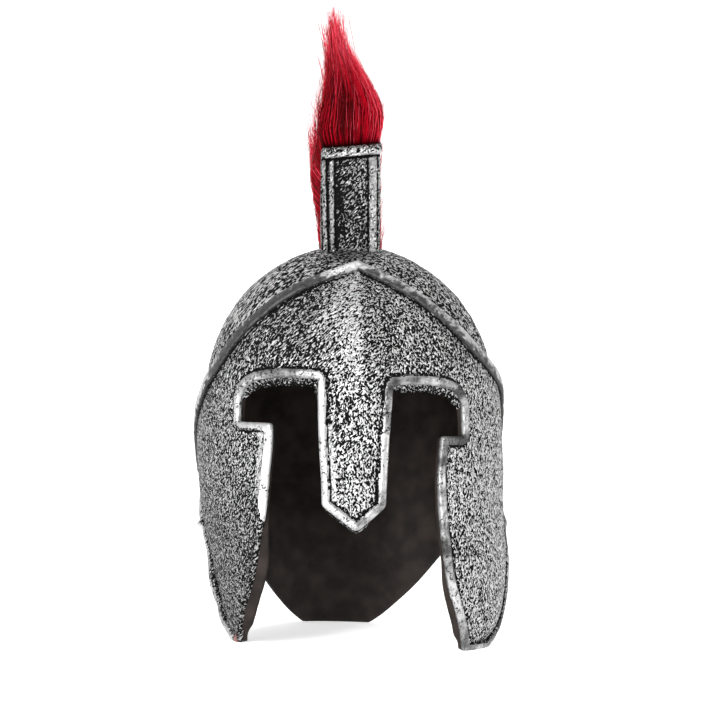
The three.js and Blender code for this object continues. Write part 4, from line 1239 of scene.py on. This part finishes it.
def strands(name, count, low, high, loose=1.0):
    """One piece of long fur: tapered three-sided strands rooted along a stretch of the crest,
    which gather in loose tufts. A few are longer, thicker and stray."""
    t = np.linspace(0, 1, STRAND_RINGS)[None]
    across = rng.uniform(0.01, 0.99, (count, 1))
    angle = rng.uniform(low, high, (count, 1))
    tufts = count // STRANDS_A_TUFT
    tuft_across = rng.uniform(0, 1, tufts)
    tuft_angle = rng.uniform(low, high, tufts)
    apart = ((across - tuft_across) * TUFT_ACROSS) ** 2 + ((angle - tuft_angle) * TUFT_ALONG) ** 2
    tuft = np.argmin(apart, axis=1)
    stray = rng.random((count, 1)) < STRAY_SHARE
    reach = rng.uniform(0.80, 0.97, tufts)[tuft][:, None] * rng.uniform(0.3, 1.0, (count, 1)) ** 0.5
    reach = np.where(stray, rng.uniform(0.9, 1.17, (count, 1)), reach)
    pull = TUFT_PULL / loose * t ** 1.3
    across_up = across + (tuft_across[tuft][:, None] - across) * pull
    angle_up = angle + (tuft_angle[tuft][:, None] - angle) * pull
    along = reach * t
    centre = plume_place(across_up, angle_up, along, plume_length(angle_up))
    drift = rng.normal(0, 1, (count, 2)) * np.where(stray, 3.2, 2.0) * loose
    phase = rng.uniform(0, 2 * math.pi, (count, 1))
    curl = rng.uniform(0.4, 1.8, (count, 1)) * t * loose
    centre[..., 0] += drift[:, :1] * t ** 2 + curl * np.sin(7 * t + phase)
    centre[..., 1] += drift[:, 1:] * t ** 2 + curl * np.cos(6 * t + phase)
    radius = rng.uniform(0.15, 0.28, (count, 1)) * (1 - 0.75 * t ** 1.5) / loose ** 0.5
    radius = np.where(stray, 0.26 * (1 - 0.45 * t), radius)
    around = rng.uniform(0, 2 * math.pi, (count, 1, 1)) + np.arange(3) * 2 * math.pi / 3
    ring = np.stack([np.cos(around), np.sin(around), np.zeros_like(around)], -1)
    points = centre[:, :, None] + ring * radius[..., None, None]
    tip = centre[:, -1] + (centre[:, -1] - centre[:, -2]) * 0.25
    stacked = np.concatenate([points.reshape(count, -1, 3), tip[:, None]], 1).reshape(-1, 3)
    values = {"strand": strand_tone_and_light(tuft, tufts, across_up, along, angle), "along": along}
    for key, value in values.items():
        values[key] = np.concatenate([np.repeat(value, 3, 1), value[:, -1:]], 1).ravel()
    obj = make_mesh(name, stacked, strand_faces(count), values)
    return settle(obj, ["plume"], [FUR])


def plume():
    first = front_end() + 0.6
    plume_core()
    strands("plume_front", 7000, first, FRONT_FUR_END)
    strands("plume_front_loose", 4200, first, FRONT_FUR_END + 2, 1.7)
    strands("plume_middle", 5200, FRONT_FUR_END, MIDDLE_FUR_END)
    strands("plume_back", 3000, MIDDLE_FUR_END, CREST_END_ANGLE - 1)


class Graph:
    """A material's nodes, with short calls to add and join them."""

    def __init__(self, name):
        self.material = bpy.data.materials.new(name)
        self.material.use_nodes = True
        self.tree = self.material.node_tree
        self.tree.nodes.clear()
        output = self.tree.nodes.new("ShaderNodeOutputMaterial")
        self.shader = self.tree.nodes.new("ShaderNodeBsdfPrincipled")
        self.tree.links.new(self.shader.outputs[0], output.inputs[0])
        self.place = self.tree.nodes.new("ShaderNodeTexCoord").outputs["Object"]

    def put(self, socket, value):
        if isinstance(value, bpy.types.NodeSocket):
            self.tree.links.new(value, socket)
        else:
            socket.default_value = value

    def add(self, kind, inputs, **settings):
        node = self.tree.nodes.new(kind)
        for key, value in settings.items():
            setattr(node, key, value)
        for key, value in inputs.items():
            self.put(node.inputs[key], value)
        return node

    def math(self, operation, a, b=0.0, c=0.0):
        return self.add("ShaderNodeMath", {0: a, 1: b, 2: c}, operation=operation).outputs[0]

    def lean(self, degrees, length):
        """Coordinates that draw a pattern out along a line which leans over towards +X."""
        inputs = {"Vector": self.place, "Rotation": (0, math.radians(degrees), 0), "Scale": (1, 1, length)}
        return self.add("ShaderNodeMapping", inputs, vector_type="TEXTURE").outputs[0]

    def axis(self, name):
        return self.add("ShaderNodeSeparateXYZ", {0: self.place}).outputs[name]

    def noise(self, scale, detail=2.0, rough=0.5, distortion=0.0, vector=None):
        inputs = {"Vector": vector or self.place, "Scale": scale, "Detail": detail,
                  "Roughness": rough, "Distortion": distortion}
        return self.add("ShaderNodeTexNoise", inputs).outputs["Fac"]

    def ramp(self, value, low, high, out_low=0.0, out_high=1.0):
        inputs = {"Value": value, "From Min": low, "From Max": high, "To Min": out_low, "To Max": out_high}
        return self.add("ShaderNodeMapRange", inputs, interpolation_type="SMOOTHSTEP").outputs[0]

    def mix(self, factor, a, b):
        node = self.add("ShaderNodeMix", {}, data_type="RGBA")
        self.put(node.inputs[0], factor)
        self.put(node.inputs[6], a)
        self.put(node.inputs[7], b)
        return node.outputs[2]

    def attribute(self, name):
        return self.add("ShaderNodeAttribute", {}, attribute_name=name).outputs["Fac"]

    def bump(self, height, strength, distance, normal=None):
        inputs = {"Height": height, "Strength": strength, "Distance": distance}
        if normal is not None:
            inputs["Normal"] = normal
        return self.add("ShaderNodeBump", inputs).outputs[0]

    def set(self, **inputs):
        for key, value in inputs.items():
            self.put(self.shader.inputs[key.replace("_", " ")], value)
        return self.material


def grey(value, warm=0.0):
    return (value * (1 + warm), value, value * (1 - warm), 1)


def hammered_silver(name, scale, lean, length):
    """Black skin with small worm-like pits, brushed over with silver on the ridges between them.
    The strokes lean with the moulding on its left half and stand upright on its right half."""
    g = Graph(name)
    side = g.math("MULTIPLY_ADD", g.noise(34, 1.0), 0.20, g.axis("X"))
    right = g.ramp(side, 0.085, 0.125)
    leaning = g.noise(scale, 0.0, 0.5, 0.8, g.lean(lean, length))
    upright = g.noise(0.92 * scale, 0.0, 0.5, 0.8, g.lean(-6, 1.6))
    ridges = g.math("ADD", leaning, g.math("MULTIPLY", right, g.math("SUBTRACT", upright, leaning)))
    worn = g.math("MULTIPLY_ADD", g.noise(15, 3.0, 0.6), 0.12, -0.06)
    height = g.math("ADD", ridges, g.attribute("silver"))
    silver = g.ramp(g.math("ADD", height, worn), 0.500, 0.536)
    grain = g.noise(1700, 2.0, 0.6)
    paint = g.mix(g.ramp(grain, 0.3, 0.7), grey(0.46), grey(0.72))
    paint = g.mix(g.attribute("dull"), paint, grey(0.12))
    colour = g.mix(silver, grey(0.003), paint)
    first = g.bump(height, 0.9, 0.0022)
    second = g.bump(grain, 0.12, 0.0003, first)
    return g.set(Base_Color=colour, Metallic=g.ramp(silver, 0, 1, 0.0, 0.9), Specular_IOR_Level=0.07,
                 Roughness=g.ramp(silver, 0, 1, 0.8, 0.34), Normal=second)


def bright_silver():
    """Nearly smooth silver paint with dark specks and rubbed streaks; its attribute paints highlight and
    shade.
    """
    g = Graph("bright_silver")
    tarnish = g.attribute("tarnish")
    # Stains, darkened further as painted shade where the attribute is high
    stain_and_shade = g.math("MULTIPLY_ADD", g.noise(90, 4.0, 0.65, 0.3), 0.8, tarnish)
    stain_and_shade = g.ramp(stain_and_shade, 0.55, 1.15, 0.0, 0.93)
    specks = g.ramp(g.noise(560, 1.5, 0.6, 0.8, g.lean(30, 1.5)), 0.55, 0.60)
    patches = g.math("MAXIMUM", g.ramp(g.noise(48, 3.0, 0.6), 0.42, 0.58), stain_and_shade)
    dark = g.math("MULTIPLY", specks, patches)
    grain = g.noise(1300, 2.0, 0.6)
    paint = g.mix(g.ramp(grain, 0.3, 0.7), grey(0.44), grey(0.62))
    # Paint whitened where the attribute is low: a painted highlight
    paint = g.mix(g.ramp(tarnish, -0.5, -0.1, 0.9, 0.0), paint, grey(0.9))
    paint = g.mix(stain_and_shade, paint, grey(0.03))
    colour = g.mix(dark, paint, grey(0.012))
    uneven = g.noise(230, 3.0, 0.55)
    first = g.bump(g.math("SUBTRACT", uneven, g.math("MULTIPLY", dark, 0.4)), 0.7, 0.0012)
    second = g.bump(grain, 0.12, 0.0003, first)
    return g.set(Base_Color=colour, Metallic=g.ramp(dark, 0, 1, 0.65, 0.2), Specular_IOR_Level=0.25,
                 Roughness=g.ramp(stain_and_shade, 0, 1, 0.38, 0.5), Normal=second)


def bare_foam(name, dark, light):
    """The unpainted moulding, inside, along the cut edges and where it is torn."""
    g = Graph(name)
    lumps = g.noise(240, 4.0, 0.6)
    mottle = g.ramp(g.noise(60, 3.0), 0.35, 0.7)
    return g.set(Base_Color=g.mix(mottle, (*dark, 1), (*light, 1)), Specular_IOR_Level=0.15,
                 Roughness=g.ramp(lumps, 0.3, 0.7, 0.6, 0.85), Normal=g.bump(lumps, 0.5, 0.0009))


def red_fur():
    """Long fur: deep red, with painted shadow at its roots, each strand of its own shade."""
    g = Graph("red_fur")
    strand, along = g.attribute("strand"), g.attribute("along")
    shade = g.math("MULTIPLY_ADD", g.math("SUBTRACT", along, 0.45), 0.42, strand)
    deep = g.mix(g.ramp(shade, 0.0, 0.5), (0.06, 0.0003, 0.0012, 1), (0.50, 0.0015, 0.014, 1))
    colour = g.mix(g.ramp(shade, 0.6, 1.05), deep, (0.90, 0.10, 0.15, 1))
    # Painted shadow at the roots
    colour = g.mix(g.ramp(along, 0.015, 0.09), (0.006, 0.0002, 0.0005, 1), colour)
    return g.set(Base_Color=colour, Roughness=0.5, Specular_IOR_Level=0.06)


def pale_stage():
    """A white floor that glows a little, so that the backdrop stays white far from the lights."""
    g = Graph("pale_floor")
    colour = g.mix(g.noise(3.0, 2.0), grey(0.86), grey(0.90))
    return g.set(Base_Color=colour, Roughness=0.9, Emission_Color=grey(1.0), Emission_Strength=STAGE_GLOW)


def stage():
    """A pale floor that curves up into a backdrop."""
    reach, bend, back, top = 4000.0, 900.0, 2600.0, 3600.0
    arc = np.linspace(0, math.pi / 2, 25)
    y = np.concatenate([[-4500], back + bend * np.sin(arc), [back + bend]])
    z = np.concatenate([[0], bend * (1 - np.cos(arc)), [top]])
    points = np.stack([np.repeat([-reach, reach], len(y)), np.tile(y, 2), np.tile(z, 2)], -1)
    obj = make_mesh("stage_floor", points, [grid_faces(2, len(y))[:, ::-1]])
    obj.data.materials.append(pale_stage())


def area_light(name, place, size, power):
    """A soft lamp that looks at the helmet's middle."""
    data = bpy.data.lights.new(name, "AREA")
    data.shape = "RECTANGLE"
    data.size, data.size_y = size
    data.energy = power
    obj = add_object(name, data)
    obj.location = place
    direction = Vector((AXIS[0], AXIS[1], AIM_HEIGHT)) - Vector(place)
    obj.rotation_euler = direction.to_track_quat("-Z", "Y").to_euler()


def surroundings():
    """White all round, brighter behind the helmet than in front of it."""
    world = bpy.data.worlds.new("studio")
    world.use_nodes = True
    tree = world.node_tree
    background = tree.nodes["Background"]
    direction = tree.nodes.new("ShaderNodeTexCoord").outputs["Generated"]
    split = tree.nodes.new("ShaderNodeSeparateXYZ")
    tree.links.new(direction, split.inputs[0])
    behind = tree.nodes.new("ShaderNodeMapRange")
    behind.interpolation_type = "SMOOTHSTEP"
    for socket, value in zip(behind.inputs[1:5], (-0.35, 0.45, WORLD_FRONT, WORLD_BACK)):
        socket.default_value = value
    tree.links.new(split.outputs["Y"], behind.inputs[0])
    tree.links.new(behind.outputs[0], background.inputs["Strength"])
    background.inputs["Color"].default_value = (1, 1, 1, 1)
    bpy.context.scene.world = world


def lights():
    """A tall soft light in front on the left, a dim one on the right and one above."""
    area_light("key", (-1.0, -1.95, 0.9), (0.42, 1.7), 72)
    area_light("fill", (2.05, -0.7, 0.6), (0.6, 1.4), 18)
    area_light("over", (0.0, 0.3, 2.2), (1.2, 1.2), 11)


def camera():
    yaw, roll = math.radians(CAMERA_YAW), math.radians(CAMERA_ROLL)
    right = np.array([math.cos(yaw), -math.sin(yaw), 0])
    ahead = np.array([math.sin(yaw), math.cos(yaw), 0])
    up = np.array([0.0, 0.0, 1.0])
    place = AXIS - ahead * CAMERA_DISTANCE + right * CAMERA_ASIDE
    place[2] = CAMERA_HEIGHT
    turned_right = right * math.cos(roll) + up * math.sin(roll)
    turned_up = up * math.cos(roll) - right * math.sin(roll)
    data = bpy.data.cameras.new("camera")
    data.angle = 2 * math.atan(FRAME_WIDTH / 2 / CAMERA_DISTANCE)
    data.clip_end = 50
    obj = add_object("camera", data)
    matrix = np.eye(4)
    matrix[:3, 0], matrix[:3, 1], matrix[:3, 2], matrix[:3, 3] = turned_right, turned_up, -ahead, place
    obj.matrix_world = Matrix(matrix.tolist())
    bpy.context.scene.camera = obj


camera()
surroundings()
lights()
stage()
HAMMERED = hammered_silver("hammered_silver", 850, 40, 2.3)
HAMMERED_BOWL = hammered_silver("hammered_bowl", 590, 46, 2.6)
BRIGHT = bright_silver()
FOAM = bare_foam("bare_foam", (0.012, 0.009, 0.008), (0.028, 0.021, 0.018))
TORN = bare_foam("torn_foam", (0.05, 0.025, 0.024), (0.26, 0.13, 0.12))
FUR = red_fur()
skull()
face_guard()
face_rim()
brow_band()
crest_box()
crest_lip()
plume()
bpy.context.scene.view_settings.view_transform = "Standard"
